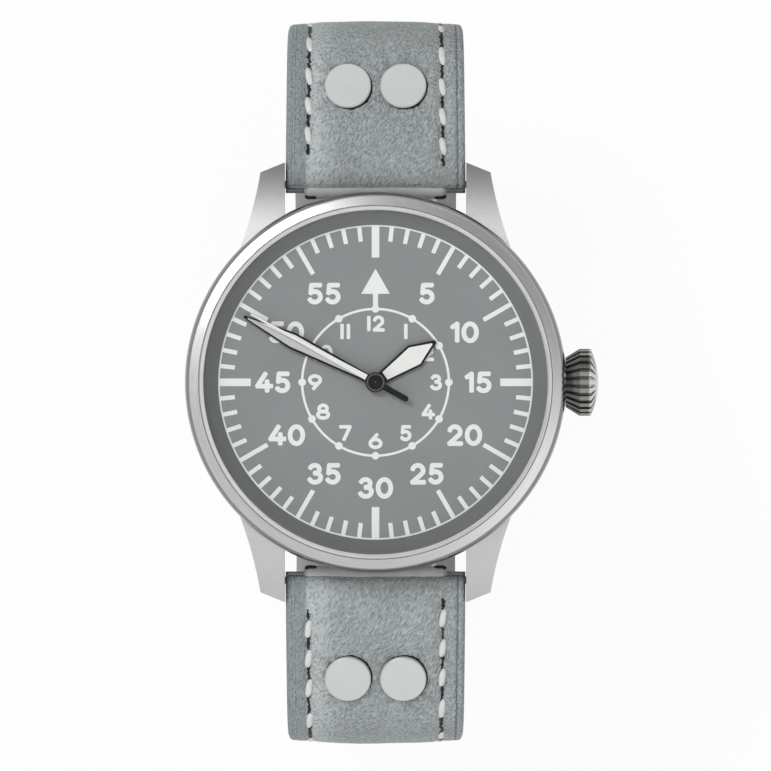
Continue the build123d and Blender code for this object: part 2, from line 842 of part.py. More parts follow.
def crown_form(inset):
    """Cone, band and shallow domed end of the crown, turned about Z, drawn in by an inset."""
    root = crown_root_radius - inset
    full = crown_full_radius - inset
    full_start = crown_length * crown_full_start_share
    full_end = crown_length * crown_full_end_share - inset
    rise = crown_length - inset - full_end
    dome_radius = (full ** 2 + rise ** 2) / (2 * rise)
    middle_drop = dome_radius - sqrt(dome_radius ** 2 - (full / 2) ** 2)
    end = full_end + rise
    outline = make_face([
        Line((0, 0), (root, 0)),
        Line((root, 0), (full, full_start)),
        Line((full, full_start), (full, full_end)),
        ThreePointArc((full, full_end), (full / 2, end - middle_drop), (0, end)),
        Line((0, end), (0, 0))])
    return revolve(Plane.XZ * outline, Axis.Z)


def crown():
    """Flutes of one depth follow the crown's form from its root over the rim of its end."""
    body = crown_form(0)
    rim = body - crown_form(crown_flute_depth)
    half = half_turn / crown_flute_count * crown_flute_share
    near, far = crown_full_radius * crown_flute_end_share, crown_full_radius + cut_overrun
    wedge = make_face(Polyline(polar(near, -half), polar(far, -half), polar(far, half),
                               polar(near, half), close=True))
    wedge = extrude(wedge, crown_length)
    for index in range(crown_flute_count):
        body -= rim & (Rot(0, 0, full_turn * index / crown_flute_count) * wedge)
    body -= rod(crown_bore_radius, -cut_overrun, crown_bore_depth)
    body -= rod(stem_radius, 0, crown_bore_depth + crown_seat_depth)
    return along_stem(body, crown_start)


def leafed(radius, bore, leaves, depth, length):
    """Small pinion or wheel with straight teeth, its base on Z = 0."""
    points = []
    for index in range(2 * leaves):
        reach = radius if index % 2 == 0 else radius - depth
        points.append(polar(reach, half_turn * index / leaves))
    face = make_face(Polyline(*points, close=True))
    if bore > 0:
        face -= Circle(bore)
    return extrude(face, length)


def stem_train():
    """Stem, clutch pinion and winding pinion."""
    stem_end = crown_start + crown_bore_depth + crown_seat_depth
    stem = cross_rod(stem_radius, stem_start, stem_end, 0, stem_height)
    bore = stem_radius + pivot_gap
    clutch = along_stem(leafed(clutch_radius, bore, pinion_leaf_count, pinion_leaf_depth,
                               clutch_length), clutch_start)
    winding = along_stem(leafed(winding_pinion_radius, bore, pinion_leaf_count, winding_leaf_depth,
                                winding_pinion_length), winding_pinion_start)
    return stem, clutch, winding


# Dial and hands

def dial():
    body = ring(dial_radius, dial_hole_radius, dial_low, dial_top)
    for angle in dial_foot_angles:
        body += rod(dial_foot_radius, dial_foot_low, dial_low, *polar(dial_foot_circle_radius, angle))
    return body


def tick(angle, length, width):
    """Bar that hangs inwards from the minute track."""
    return Rot(0, 0, -angle) * Pos(0, track_radius - length / 2) * Rectangle(width, length)


def dial_markings():
    """Minute track and ticks, and inside them the hour ring with its dots and the triangle."""
    track = Circle(track_radius) - Circle(track_radius - track_line)
    ticks = []
    for minute in range(60):
        angle = full_turn * minute / 60
        if minute % 15 == 0:
            ticks.append(tick(angle, five_tick_length, quarter_tick_width))
        elif minute % 5 == 0:
            ticks.append(tick(angle, five_tick_length, five_tick_width))
        else:
            ticks.append(tick(angle, minute_tick_length, minute_tick_width))
    outer = track + ticks
    line = hour_ring_line / 2
    inner = Circle(hour_ring_radius + line) - Circle(hour_ring_radius - line)
    dots = [Pos(*polar(hour_ring_radius, full_turn * hour / 12)) * Circle(hour_dot_radius)
            for hour in range(12)]
    base = twelve_triangle_reach - twelve_triangle_height
    half = twelve_triangle_width / 2
    triangle = make_face(Polyline((-half, base), (0, twelve_triangle_reach), (half, base), close=True))
    stem = Pos(0, (hour_ring_radius + base) / 2) * Rectangle(twelve_stem_width, base - hour_ring_radius)
    inner = inner + dots + [triangle, stem]
    return Pos(0, 0, dial_top) * extrude(outer, print_thickness) + Pos(0, 0, dial_top) * extrude(
        inner, print_thickness)


def hand_corners(root_half, widest_half, widest, length, tip_half, start):
    return [(-root_half, start), (-widest_half, widest), (-tip_half, length), (tip_half, length),
            (widest_half, widest), (root_half, start)]


def broad_hand(root_half, widest_half, widest, length, hub, bore, low, angle):
    """Leaf-shaped hand with a hub, and the luminous filling that lies in it."""
    blade = make_face(Polyline(*hand_corners(root_half, widest_half, widest, length, hand_tip_half, 0),
                               close=True))
    blade = blade + Circle(hub) - Circle(bore)
    hand = Pos(0, 0, low) * extrude(blade, hand_thickness)
    root = root_half + (widest_half - root_half) * lume_start / widest - hand_rim
    fill = make_face(Polyline(*hand_corners(root, widest_half - hand_rim, widest,
                                            length - 2 * hand_rim, hand_tip_half / 2, lume_start),
                              close=True))
    lume = Pos(0, 0, low + hand_thickness) * extrude(fill, lume_thickness)
    return Rot(0, 0, -angle) * hand, Rot(0, 0, -angle) * lume


def seconds_hand():
    """Needle, tail and hub in one, pressed on the fourth arbor."""
    blade = make_face(Polyline((-seconds_tail_half, 0), (-seconds_tip_half, seconds_hand_length),
                               (seconds_tip_half, seconds_hand_length), (seconds_tail_half, 0),
                               close=True))
    tail_end = seconds_tail_length - seconds_tail_half
    tail_blade = Pos(0, -tail_end / 2) * Rectangle(2 * seconds_tail_half, tail_end)
    round_end = Pos(0, -tail_end) * Circle(seconds_tail_half)
    face = blade + tail_blade + round_end + Circle(seconds_hub_radius)
    body = Pos(0, 0, seconds_hand_low) * extrude(face, hand_thickness)
    top = seconds_hand_low + hand_thickness
    body += rod(seconds_cap_radius, top, top + seconds_cap_height)
    body -= rod(seconds_arbor_radius(), seconds_hand_low - cut_overrun, top)
    return Rot(0, 0, -seconds_hand_angle) * body


def seconds_arbor_radius():
    return centre_tube_bore - 2 * pivot_gap


# Going train

third_place = polar(third_distance, third_angle)
escape_place = polar(escape_distance, escape_angle)
barrel_place = polar(barrel_distance, barrel_angle)
balance_place = polar(balance_distance, balance_angle)
pallet_place = tuple(start + (end - start) * pallet_pivot_share
                     for start, end in zip(escape_place, balance_place))
cock_foot = (cock_foot_x, cock_foot_y)
crown_wheel_place = (crown_wheel_x, crown_wheel_y)
arbor_low = bridge_top + pinion_overlap
arbor_high = plate_low - pinion_overlap


def mesh_radii(distance, wheel_teeth, pinion_leaves):
    """Radius of a wheel, and of the pinion that runs just clear of it."""
    total = wheel_teeth + pinion_leaves
    return distance * wheel_teeth / total, distance * pinion_leaves / total - mesh_gap


def spoked(teeth, radius, thickness, bore):
    """Toothed wheel with four spokes, its base on Z = 0."""
    points = []
    for index in range(2 * teeth):
        reach = radius if index % 2 == 0 else radius * (1 - tooth_depth_share)
        points.append(polar(reach, half_turn * index / teeth))
    face = make_face(Polyline(*points, close=True))
    inner = radius * (1 - wheel_rim_share)
    window = Circle(inner) - Circle(wheel_hub_radius)
    window -= Rectangle(2 * radius, wheel_spoke_width)
    window -= Rectangle(wheel_spoke_width, 2 * radius)
    return extrude(face - window - Circle(bore), thickness)


def arbor(place, low_jewel, high_jewel):
    """Arbor between two plates, with a thin pivot that ends level with each jewel."""
    x, y = place
    body = rod(arbor_radius, arbor_low, arbor_high, x, y)
    return body + rod(pivot_radius, low_jewel, high_jewel, x, y)


def pinion(radius, leaves, low, high, place):
    depth = min(pinion_leaf_depth, radius / 4)
    return Pos(*place, low) * leafed(radius, 0, leaves, depth, high - low)


def around(level):
    """Span of a pinion that stands a little proud of the wheel it meshes with."""
    return level - pinion_overlap, level + wheel_thickness + pinion_overlap


low_jewel_face = bridge_top - jewel_thickness
high_jewel_face = plate_low + jewel_thickness


def centre_wheel():
    radius, _ = mesh_radii(third_distance, centre_wheel_teeth, third_pinion_leaves)
    _, pinion_radius = mesh_radii(barrel_distance, barrel_teeth, centre_pinion_leaves)
    low = centre_wheel_low
    body = Pos(0, 0, low) * spoked(centre_wheel_teeth, radius, wheel_thickness, centre_tube_bore)
    body += pinion(pinion_radius, centre_pinion_leaves, centre_pinion_low,
                   arbor_high, (0, 0))
    body += rod(centre_tube_radius, low, minute_hand_low - mesh_gap)
    return body - rod(centre_tube_bore, low - cut_overrun, minute_hand_low + cut_overrun)


def third_wheel():
    _, pinion_radius = mesh_radii(third_distance, centre_wheel_teeth, third_pinion_leaves)
    radius, _ = mesh_radii(third_distance, third_wheel_teeth, fourth_pinion_leaves)
    body = Pos(*third_place, third_wheel_low) * spoked(third_wheel_teeth, radius, wheel_thickness,
                                                       pivot_radius)
    body += pinion(pinion_radius, third_pinion_leaves, *around(centre_wheel_low), third_place)
    return body + arbor(third_place, low_jewel_face, high_jewel_face)


def fourth_wheel():
    """Wheel at the centre whose long arbor runs up through the hands to carry the seconds hand."""
    radius, _ = mesh_radii(escape_distance, fourth_wheel_teeth, escape_pinion_leaves)
    _, pinion_radius = mesh_radii(third_distance, third_wheel_teeth, fourth_pinion_leaves)
    body = Pos(0, 0, fourth_wheel_low) * spoked(fourth_wheel_teeth, radius, wheel_thickness,
                                                pivot_radius)
    body += pinion(pinion_radius, fourth_pinion_leaves, *around(third_wheel_low), (0, 0))
    body += rod(pivot_radius, low_jewel_face, arbor_low)
    return body + rod(seconds_arbor_radius(), arbor_low, seconds_hand_low + hand_thickness)


def escape_wheel():
    _, pinion_radius = mesh_radii(escape_distance, fourth_wheel_teeth, escape_pinion_leaves)
    points = []
    for index in range(escape_teeth):
        angle = full_turn * index / escape_teeth
        points.append(polar(escape_radius, angle))
        points.append(polar(escape_radius - escape_tooth_depth, angle + half_turn / escape_teeth / 2))
        points.append(polar(escape_radius - escape_tooth_depth, angle + half_turn / escape_teeth * 3 / 2))
    face = make_face(Polyline(*points, close=True))
    window = Circle(escape_radius * (1 - 2 * wheel_rim_share)) - Circle(wheel_hub_radius)
    window -= Rectangle(2 * escape_radius, wheel_spoke_width)
    window -= Rectangle(wheel_spoke_width, 2 * escape_radius)
    body = Pos(*escape_place, escape_wheel_low) * extrude(face - window, wheel_thickness)
    body += pinion(pinion_radius, escape_pinion_leaves, *around(fourth_wheel_low), escape_place)
    return body + arbor(escape_place, low_jewel_face, high_jewel_face)


def barrel():
    """Drum with a toothed rim, hollow for the mainspring."""
    radius, _ = mesh_radii(barrel_distance, barrel_teeth, centre_pinion_leaves)
    teeth = leafed(radius, barrel_bore_radius, barrel_teeth, radius * tooth_depth_share,
                   barrel_rim_thickness)
    body = Pos(0, 0, barrel_low) * teeth
    body += ring(barrel_drum_radius, barrel_bore_radius, barrel_low, barrel_top)
    body -= ring(barrel_drum_radius - barrel_wall, barrel_bore_radius - mesh_gap,
                 barrel_low + barrel_wall, barrel_top - barrel_wall)
    return Pos(*barrel_place, 0) * body


def spiral_strip(inner, outer, turns, strip, low, high, place):
    """Flat spiral spring, cut as one strip."""
    steps = 16 * turns
    outside, inside = [], []
    for index in range(steps + 1):
        angle = full_turn * turns * index / steps
        reach = inner + (outer - inner) * index / steps
        outside.append(polar(reach + strip / 2, angle))
        inside.append(polar(reach - strip / 2, angle))
    face = make_face(Polyline(*outside, *reversed(inside), close=True))
    return Pos(*place, low) * extrude(face, high - low)


def mainspring():
    return spiral_strip(mainspring_inner_radius, mainspring_outer_radius, mainspring_turns,
                        mainspring_strip, barrel_low + barrel_wall + mesh_gap,
                        barrel_top - barrel_wall - mesh_gap, barrel_place)


def barrel_arbor():
    return rod(barrel_arbor_radius, ratchet_low, barrel_top, *barrel_place)


def ratchet_wheel():
    wheel = leafed(ratchet_radius, barrel_arbor_radius, ratchet_teeth, winding_tooth_depth,
                   ratchet_thickness)
    return Pos(*barrel_place, ratchet_low) * wheel


def crown_wheel():
    gap = hypot(barrel_place[0] - crown_wheel_x, barrel_place[1] - crown_wheel_y)
    wheel = leafed(gap - ratchet_radius - mesh_gap, crown_wheel_axle_radius + pivot_gap,
                   crown_wheel_teeth, winding_tooth_depth, ratchet_thickness)
    return Pos(*crown_wheel_place, ratchet_low) * wheel


def click_place():
    reach = ratchet_radius + click_radius + click_beak_length + mesh_gap
    dx, dy = polar(reach, click_angle)
    return barrel_place[0] + dx, barrel_place[1] + dy


def click():
    """Pawl whose beak points at the ratchet wheel."""
    beak_half = click_radius / 2
    face = Circle(click_radius) + make_face(Polyline(
        (0, beak_half), (-click_radius - click_beak_length, 0), (0, -beak_half), close=True))
    body = extrude(face - Circle(click_axle_radius + pivot_gap), ratchet_thickness)
    return Pos(*click_place(), ratchet_low) * Rot(0, 0, click_angle) * body


# Balance and pallets

def balance_wheel():
    """Rim, arm, staff and roller in one."""
    x, y = balance_place
    low, high = balance_rim_low, balance_rim_low + balance_rim_thickness
    inner = balance_radius - balance_rim_width
    body = ring(balance_radius, inner, low, high, x, y)
    body += Pos(x, y, (low + high) / 2) * Rot(0, 0, balance_angle) * Box(
        2 * inner + balance_rim_width, balance_arm_width, balance_rim_thickness / 2)
    body += rod(balance_staff_radius, bridge_low + cock_thickness + pivot_gap, arbor_high, x, y)
    body += rod(pivot_radius, bridge_low + cock_thickness - jewel_thickness, high_jewel_face, x, y)
    roller_top = roller_low + roller_thickness
    body += rod(roller_radius, roller_low, roller_top, x, y)
    pin_reach = roller_radius - 3 * impulse_pin_radius / 2
    lean = atan2(pallet_place[1] - y, pallet_place[0] - x)
    return body + rod(impulse_pin_radius, roller_top, roller_top + roller_thickness,
                      x + pin_reach * cos(lean), y + pin_reach * sin(lean))


def hairspring():
    return spiral_strip(hairspring_inner_radius, hairspring_outer_radius, hairspring_turns,
                        hairspring_strip, hairspring_low, hairspring_low + hairspring_thickness,
                        balance_place)


def pallet_fork():
    dx, dy = balance_place[0] - escape_place[0], balance_place[1] - escape_place[1]
    distance = hypot(dx, dy) * pallet_pivot_share
    stone = distance - sqrt((escape_radius + pallet_reach_gap) ** 2 - pallet_span_half ** 2)
    half = pallet_arm_half
    face = Rectangle(2 * (pallet_span_half + half), 2 * half)
    face += Pos(0, pallet_arm_length / 2) * Rectangle(2 * half, pallet_arm_length)
    face += Pos(0, pallet_arm_length - half) * Rectangle(2 * pallet_horn_half, 2 * half)
    for sign in (-1, 1):
        face += Pos(sign * pallet_span_half, -stone / 2) * Rectangle(2 * half, stone)
    turn = degrees(atan2(dy, dx)) - down_angle
    body = Pos(*pallet_place, pallet_low) * Rot(0, 0, turn) * extrude(face, pallet_thickness)
    body += rod(arbor_radius, pallet_low, arbor_high, *pallet_place)
    return body + rod(pivot_radius, pallet_cock_low + mesh_gap, high_jewel_face, *pallet_place)


def post_place():
    """Foot of the pallet cock, to the side of the line from escape wheel to balance."""
    dx, dy = balance_place[0] - escape_place[0], balance_place[1] - escape_place[1]
    scale = pallet_post_offset / hypot(dx, dy)
    return pallet_place[0] + dy * scale, pallet_place[1] - dx * scale


def bar_between(start, end, width, low, high):
    """Flat bar with round ends."""
    dx, dy = end[0] - start[0], end[1] - start[1]
    slot = SlotCenterToCenter(hypot(dx, dy), width)
    middle = ((start[0] + end[0]) / 2, (start[1] + end[1]) / 2)
    return Pos(*middle, low) * Rot(0, 0, degrees(atan2(dy, dx))) * extrude(slot, high - low)


def pallet_cock():
    high = pallet_cock_low + pallet_cock_thickness
    post = post_place()
    body = bar_between(pallet_place, post, 2 * pallet_post_radius, pallet_cock_low, high)
    body += rod(pallet_post_radius, pallet_cock_low, plate_low, *post)
    return body - rod(pivot_radius + pivot_gap, pallet_cock_low - cut_overrun, high + cut_overrun,
                      *pallet_place)


# Plates, bridges, jewels and screws

def jewel(place, low):
    return ring(jewel_radius, pivot_radius + pivot_gap, low, low + jewel_thickness, *place)


plate_jewels = [(place, plate_low) for place in (third_place, escape_place, pallet_place,
                                                 balance_place)]
bridge_jewels = [(place, low_jewel_face) for place in (third_place, (0.0, 0.0), escape_place)]
cock_jewels = [(balance_place, bridge_low + cock_thickness - jewel_thickness)]


def jewels():
    return Compound([jewel(*seat) for seat in plate_jewels + bridge_jewels + cock_jewels])


def jewel_seats(seats):
    """Plain discs that cut the seats of jewels."""
    return [rod(jewel_radius, low, low + jewel_thickness, *place) for place, low in seats]


def screw(place):
    """Plate screw with its head flush in a bridge, and its thread in the mainplate."""
    head_top = bridge_low + screw_head_thickness
    body = rod(screw_head_radius, bridge_low, head_top, *place)
    body += rod(screw_shank_radius, head_top, plate_low + screw_hold_depth, *place)
    slot = Pos(*place, bridge_low) * Box(2 * screw_head_radius + cut_overrun, screw_slot_width,
                                         screw_head_thickness)
    return body, body - slot


barrel_bridge_screws = [polar(screw_circle_radius, angle) for angle in barrel_bridge_screw_angles]
train_bridge_screws = [polar(screw_circle_radius, angle) for angle in train_bridge_screw_angles]


def bridge_screws():
    places = barrel_bridge_screws + train_bridge_screws + [cock_foot]
    solids = [screw(place)[1] for place in places]
    head = rod(2 * crown_wheel_axle_radius, ratchet_low - screw_head_thickness / 2 - pivot_gap,
               ratchet_low - pivot_gap, *crown_wheel_place)
    solids.append(head + rod(crown_wheel_axle_radius, ratchet_low - pivot_gap, bridge_top,
                             *crown_wheel_place))
    solids.append(rod(click_axle_radius, ratchet_low, bridge_top, *click_place()))
    return Compound(solids)


def stem_pockets():
    """Room round the pinions on the stem."""
    room = pinion_pocket_gap
    return [cross_rod(clutch_radius + room, clutch_start - room, clutch_start + clutch_length + room,
                      0, stem_height),
            cross_rod(winding_pinion_radius + room, winding_pinion_start - room / 2,
                      winding_pinion_start + winding_pinion_length + room, 0, stem_height)]


def mainplate():
    body = rod(movement_radius, plate_low, plate_top)
    body += ring(movement_radius, movement_radius - rim_wall, bridge_top, plate_low)
    for place in barrel_bridge_screws + train_bridge_screws + [cock_foot]:
        body += rod(pillar_radius, bridge_top, plate_low, *place)
    body += Pos(stem_start + stem_block_length / 6, 0, (arbor_low + plate_low) / 2) * Box(
        stem_block_length, stem_block_width - 2 * arbor_radius, plate_low - arbor_low)
    barrel_radius, _ = mesh_radii(barrel_distance, barrel_teeth, centre_pinion_leaves)
    body -= rod(barrel_radius + barrel_gap, arbor_low, barrel_top + barrel_gap, *barrel_place)
    for radius, place in motion_recesses():
        body -= rod(radius + motion_recess_gap, motion_recess_floor, plate_top + cut_overrun, *place)
    body -= rod(centre_tube_radius + pivot_gap, plate_low - cut_overrun, plate_top)
    body -= cross_rod(stem_radius + pivot_gap, stem_start - pivot_gap, movement_radius + cut_overrun,
                      0, stem_height)
    for cutter in stem_pockets() + jewel_seats(plate_jewels):
        body -= cutter
    for place in barrel_bridge_screws + train_bridge_screws + [cock_foot]:
        body -= screw(place)[0]
    for angle in dial_foot_angles:
        body -= rod(dial_foot_radius + pivot_gap, dial_foot_low - plate_gap, plate_top + cut_overrun,
                    *polar(dial_foot_circle_radius, angle))
    return body


def half_plane(angle, offset):
    """Large block on the far side of a straight cut through the bridges."""
    size = 4 * movement_radius
    return Rot(0, 0, angle) * Pos(offset + size / 2, 0, (bridge_low + bridge_top) / 2) * Box(
        size, size, size)


def barrel_bridge():
    body = rod(movement_radius, bridge_low, bridge_top)
    body = body & half_plane(bridge_split_angle, bridge_split_offset + bridge_split_gap / 2)
    body -= half_plane(-down_angle, barrel_bridge_edge_offset)
    body -= rod(barrel_arbor_radius + barrel_arbor_bore_gap, bridge_low - cut_overrun,
                bridge_top + cut_overrun, *barrel_place)
    for cutter in stem_pockets() + [screw(place)[0] for place in barrel_bridge_screws]:
        body -= cutter
    body -= rod(crown_wheel_axle_radius, bridge_low - cut_overrun, bridge_top, *crown_wheel_place)
    return body - rod(click_axle_radius, bridge_low - cut_overrun, bridge_top, *click_place())


def train_bridge():
    body = rod(movement_radius, bridge_low, bridge_top)
    body -= half_plane(bridge_split_angle, bridge_split_offset - bridge_split_gap / 2)
    body -= half_plane(train_bridge_edge_angle, train_bridge_edge_offset)
    for cutter in jewel_seats(bridge_jewels) + [screw(place)[0] for place in train_bridge_screws]:
        body -= cutter
    return body


def balance_cock():
    high = bridge_low + cock_thickness
    body = bar_between(balance_place, cock_foot, 2 * cock_end_radius, bridge_low, high)
    body += rod(cock_end_radius, bridge_low, bridge_top, *cock_foot)
    for cutter in jewel_seats(cock_jewels) + [screw(cock_foot)[0]]:
        body -= cutter
    return body


# Motion works

motion_place = polar(motion_distance, motion_angle)
minute_wheel_radius, cannon_tip_radius = mesh_radii(motion_distance, minute_wheel_teeth, cannon_leaves)
hour_wheel_radius, minute_pinion_radius = mesh_radii(motion_distance, hour_wheel_teeth,
                                                     minute_pinion_leaves)


def motion_recesses():
    return [(hour_wheel_radius, (0.0, 0.0)), (minute_wheel_radius, motion_place)]


def cannon_pinion():
    """Tube that carries the minute hand, gripping the centre tube."""
    low, high = motion_first_low, minute_hand_low + hand_thickness
    teeth = leafed(cannon_tip_radius, centre_tube_radius + pivot_gap, cannon_leaves,
                   cannon_tip_radius / 8, motion_wheel_thickness)
    tube = ring(cannon_radius, centre_tube_radius + pivot_gap, low, high)
    return Pos(0, 0, low) * teeth + tube


def minute_wheel():
    wheel = leafed(minute_wheel_radius, arbor_radius + pivot_gap, minute_wheel_teeth,
                   minute_wheel_radius * tooth_depth_share, motion_wheel_thickness)
    leaves = leafed(minute_pinion_radius, arbor_radius + pivot_gap, minute_pinion_leaves,
                    minute_pinion_radius / 8, motion_second_low + motion_wheel_thickness
                    - motion_first_low)
    return Pos(*motion_place, motion_first_low) * (wheel + leaves)


def minute_wheel_post():
    return rod(arbor_radius, motion_recess_floor, plate_top, *motion_place)


def hour_wheel():
    """Wheel and tube that turn on the cannon pinion and carry the hour hand."""
    wheel = leafed(hour_wheel_radius, hour_tube_bore, hour_wheel_teeth,
                   hour_wheel_radius * tooth_depth_share, motion_wheel_thickness)
    tube = ring(hour_tube_radius, hour_tube_bore, motion_second_low, hour_hand_low + hand_thickness)
    return Pos(0, 0, motion_second_low) * wheel + tube


# Rotor

def rotor():
    """Half disc with a heavy rim, turning on the bearing at the centre."""
    top = rotor_low + rotor_plate_thickness
    half = Pos(0, -rotor_radius, rotor_weight_top / 2) * Box(4 * rotor_radius, 2 * rotor_radius,
                                                             2 * rotor_weight_top)
    body = rod(rotor_radius, rotor_low, top)
    body += ring(rotor_radius, rotor_radius - rotor_weight_width, rotor_low, rotor_weight_top)
    body = (body & half) + rod(rotor_hub_radius, rotor_low, top)
    for index in range(rotor_window_count):
        angle = -down_angle + rotor_window_spread * (index - (rotor_window_count - 1) / 2)
        place = polar(rotor_window_circle_radius, angle)
        body -= rod(rotor_window_radius, rotor_low - cut_overrun, top + cut_overrun, *place)
    body -= rod(rotor_bore_radius, rotor_low - cut_overrun, top + cut_overrun)
    return Rot(0, 0, rotor_rest_angle) * body


def rotor_bearing():
    """Post on the train bridge, with a cap that holds the rotor up."""
    cap_high = rotor_low - pivot_gap
    body = rod(rotor_bore_radius - rotor_bearing_gap, cap_high, bridge_low)
    return body + rod(rotor_bearing_cap_radius, cap_high - rotor_bearing_cap_thickness, cap_high)


# Assembly: strap pieces are placed already, and the head is raised to its spring bars

def strap_nodes():
    nodes = {}
    leather, lining, rivets = short_half()
    nodes["strap_12_leather"], nodes["strap_12_lining"], nodes["strap_12_rivets"] = (
        leather, lining, rivets)
    leather, lining, rivets = long_half()
    turn = Rot(0, 0, half_turn)
    nodes["strap_6_leather"], nodes["strap_6_lining"], nodes["strap_6_rivets"] = (
        turn * leather, turn * lining, turn * rivets)
    nodes["buckle_frame"], nodes["buckle_bar"], nodes["buckle_tongue"] = buckle_parts()
    nodes["fixed_keeper"] = keeper(fixed_keeper_from_bar)
    nodes["free_keeper"] = keeper(free_keeper_from_bar)
    return nodes


def head_nodes():
    hour_hand, hour_lume = broad_hand(
        hour_hand_root_half, hour_hand_half, hour_hand_widest, hour_hand_length, hour_hub_radius,
        hour_tube_radius, hour_hand_low, hour_hand_angle)
    minute_hand, minute_lume = broad_hand(
        minute_hand_root_half, minute_hand_half, minute_hand_widest, minute_hand_length,
        minute_hub_radius, cannon_radius, minute_hand_low, minute_hand_angle)
    stem, clutch, winding = stem_train()
    return {
        "case_middle": case_middle(), "spring_bars": spring_bars(), "bezel": bezel(),
        "crystal": crystal(), "crystal_gasket": crystal_gasket(), "flange_ring": flange_ring(),
        "case_back": case_back(), "case_back_gasket": case_back_gasket(),
        "movement_ring": movement_ring(),
        "crown_tube": cross_ring(tube_radius, tube_bore_radius, tube_start, tube_end, 0, stem_height),
        "crown": crown(), "winding_stem": stem, "clutch_pinion": clutch, "winding_pinion": winding,
        "crown_gasket": cross_ring(crown_bore_radius, tube_radius + pivot_gap, crown_gasket_start,
                                   crown_gasket_start + crown_gasket_length, 0, stem_height),
        "dial": dial(), "dial_markings": dial_markings(),
        "hour_hand": hour_hand, "hour_hand_lume": hour_lume,
        "minute_hand": minute_hand, "minute_hand_lume": minute_lume, "seconds_hand": seconds_hand(),
        "mainplate": mainplate(), "barrel_bridge": barrel_bridge(), "train_bridge": train_bridge(),
        "balance_cock": balance_cock(), "pallet_cock": pallet_cock(), "jewels": jewels(),
        "bridge_screws": bridge_screws(), "minute_wheel_post": minute_wheel_post(),
        "centre_wheel": centre_wheel(), "third_wheel": third_wheel(), "fourth_wheel": fourth_wheel(),
        "escape_wheel": escape_wheel(), "barrel": barrel(), "mainspring": mainspring(),
        "barrel_arbor": barrel_arbor(), "ratchet_wheel": ratchet_wheel(),
        "crown_wheel": crown_wheel(), "click": click(),
        "balance_wheel": balance_wheel(), "hairspring": hairspring(), "pallet_fork": pallet_fork(),
        "cannon_pinion": cannon_pinion(), "minute_wheel": minute_wheel(), "hour_wheel": hour_wheel(),
        "rotor": rotor(), "rotor_bearing": rotor_bearing(),
    }


for name, shape in strap_nodes().items():
    export_step(shape, f"parts/{name}.step")
for name, shape in head_nodes().items():
    export_step(Pos(0, 0, head_z) * shape, f"parts/{name}.step")
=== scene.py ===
"""Pilot watch with a riveted leather strap: leather, thread, numerals and finishes over its frame."""

import json
from math import atan2, ceil, cos, exp, hypot, pi, radians, sin, sqrt, tan

import bpy
from bpy.props import FloatProperty, FloatVectorProperty, IntProperty, PointerProperty
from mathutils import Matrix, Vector, noise


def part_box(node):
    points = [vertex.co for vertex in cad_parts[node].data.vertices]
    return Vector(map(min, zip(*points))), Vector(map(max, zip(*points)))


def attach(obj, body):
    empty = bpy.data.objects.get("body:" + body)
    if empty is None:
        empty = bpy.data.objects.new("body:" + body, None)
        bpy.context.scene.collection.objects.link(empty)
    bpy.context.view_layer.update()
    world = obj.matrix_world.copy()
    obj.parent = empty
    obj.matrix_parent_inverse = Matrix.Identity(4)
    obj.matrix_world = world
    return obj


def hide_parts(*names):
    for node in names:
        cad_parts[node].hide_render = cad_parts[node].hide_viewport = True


bl_info = {
    "name": "Pilot watch",
    "version": (1, 0, 0),
    "blender": (4, 5, 0),
    "location": "3D View > Sidebar > Watch",
    "description": "Leather, thread, numerals and finishes of a pilot watch",
    "category": "Object",
}

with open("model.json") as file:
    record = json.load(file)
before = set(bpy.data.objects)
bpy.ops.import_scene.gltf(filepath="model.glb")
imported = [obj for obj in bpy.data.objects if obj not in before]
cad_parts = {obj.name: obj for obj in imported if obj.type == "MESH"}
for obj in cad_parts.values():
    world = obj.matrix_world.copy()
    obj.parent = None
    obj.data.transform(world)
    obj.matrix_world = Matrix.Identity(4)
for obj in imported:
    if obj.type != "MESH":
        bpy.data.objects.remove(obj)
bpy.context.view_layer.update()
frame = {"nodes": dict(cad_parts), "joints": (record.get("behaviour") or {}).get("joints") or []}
JOINTS = {joint["name"]: joint for joint in frame["joints"]}
MM = 0.001

# Pairs of a length from the bar and a share, for what fades along a strap half
BEND_RELIEF_SHARES = ((12 * MM, 1.0), (16 * MM, 0.15), (24 * MM, 0.15), (30 * MM, 0.8))
PADDING_SHARES = ((30 * MM, 1.0), (60 * MM, 0.25))


def millimetres(name, description, size):
    """Property for a length, with its default given in millimetres."""
    return FloatProperty(name=name, description=description, default=size * MM,
                         subtype="DISTANCE", unit="LENGTH", precision=5)


def turn(name, description, size):
    """Property for an angle, with its default given in degrees."""
    return FloatProperty(name=name, description=description, default=radians(size),
                         subtype="ANGLE", unit="ROTATION")


def share(name, description, size):
    """Property for a plain factor."""
    return FloatProperty(name=name, description=description, default=size, subtype="FACTOR",
                         min=0.0, soft_max=1.0)


def number(name, description, size):
    """Property for a count."""
    return IntProperty(name=name, description=description, default=size, min=1)


def colour(name, description, red, green, blue):
    """Property for a colour."""
    return FloatVectorProperty(name=name, description=description, default=(red, green, blue),
                               subtype="COLOR", size=3, min=0.0, max=1.0)


def metres(name, description, size):
    """Property for a length in the studio, with its default given in metres."""
    return FloatProperty(name=name, description=description, default=size, subtype="DISTANCE",
                         unit="LENGTH")


def spot(name, description, x, y, z):
    """Property for a place in the studio, with its default given in metres."""
    return FloatVectorProperty(name=name, description=description, default=(x, y, z),
                               subtype="TRANSLATION", unit="LENGTH", size=3)


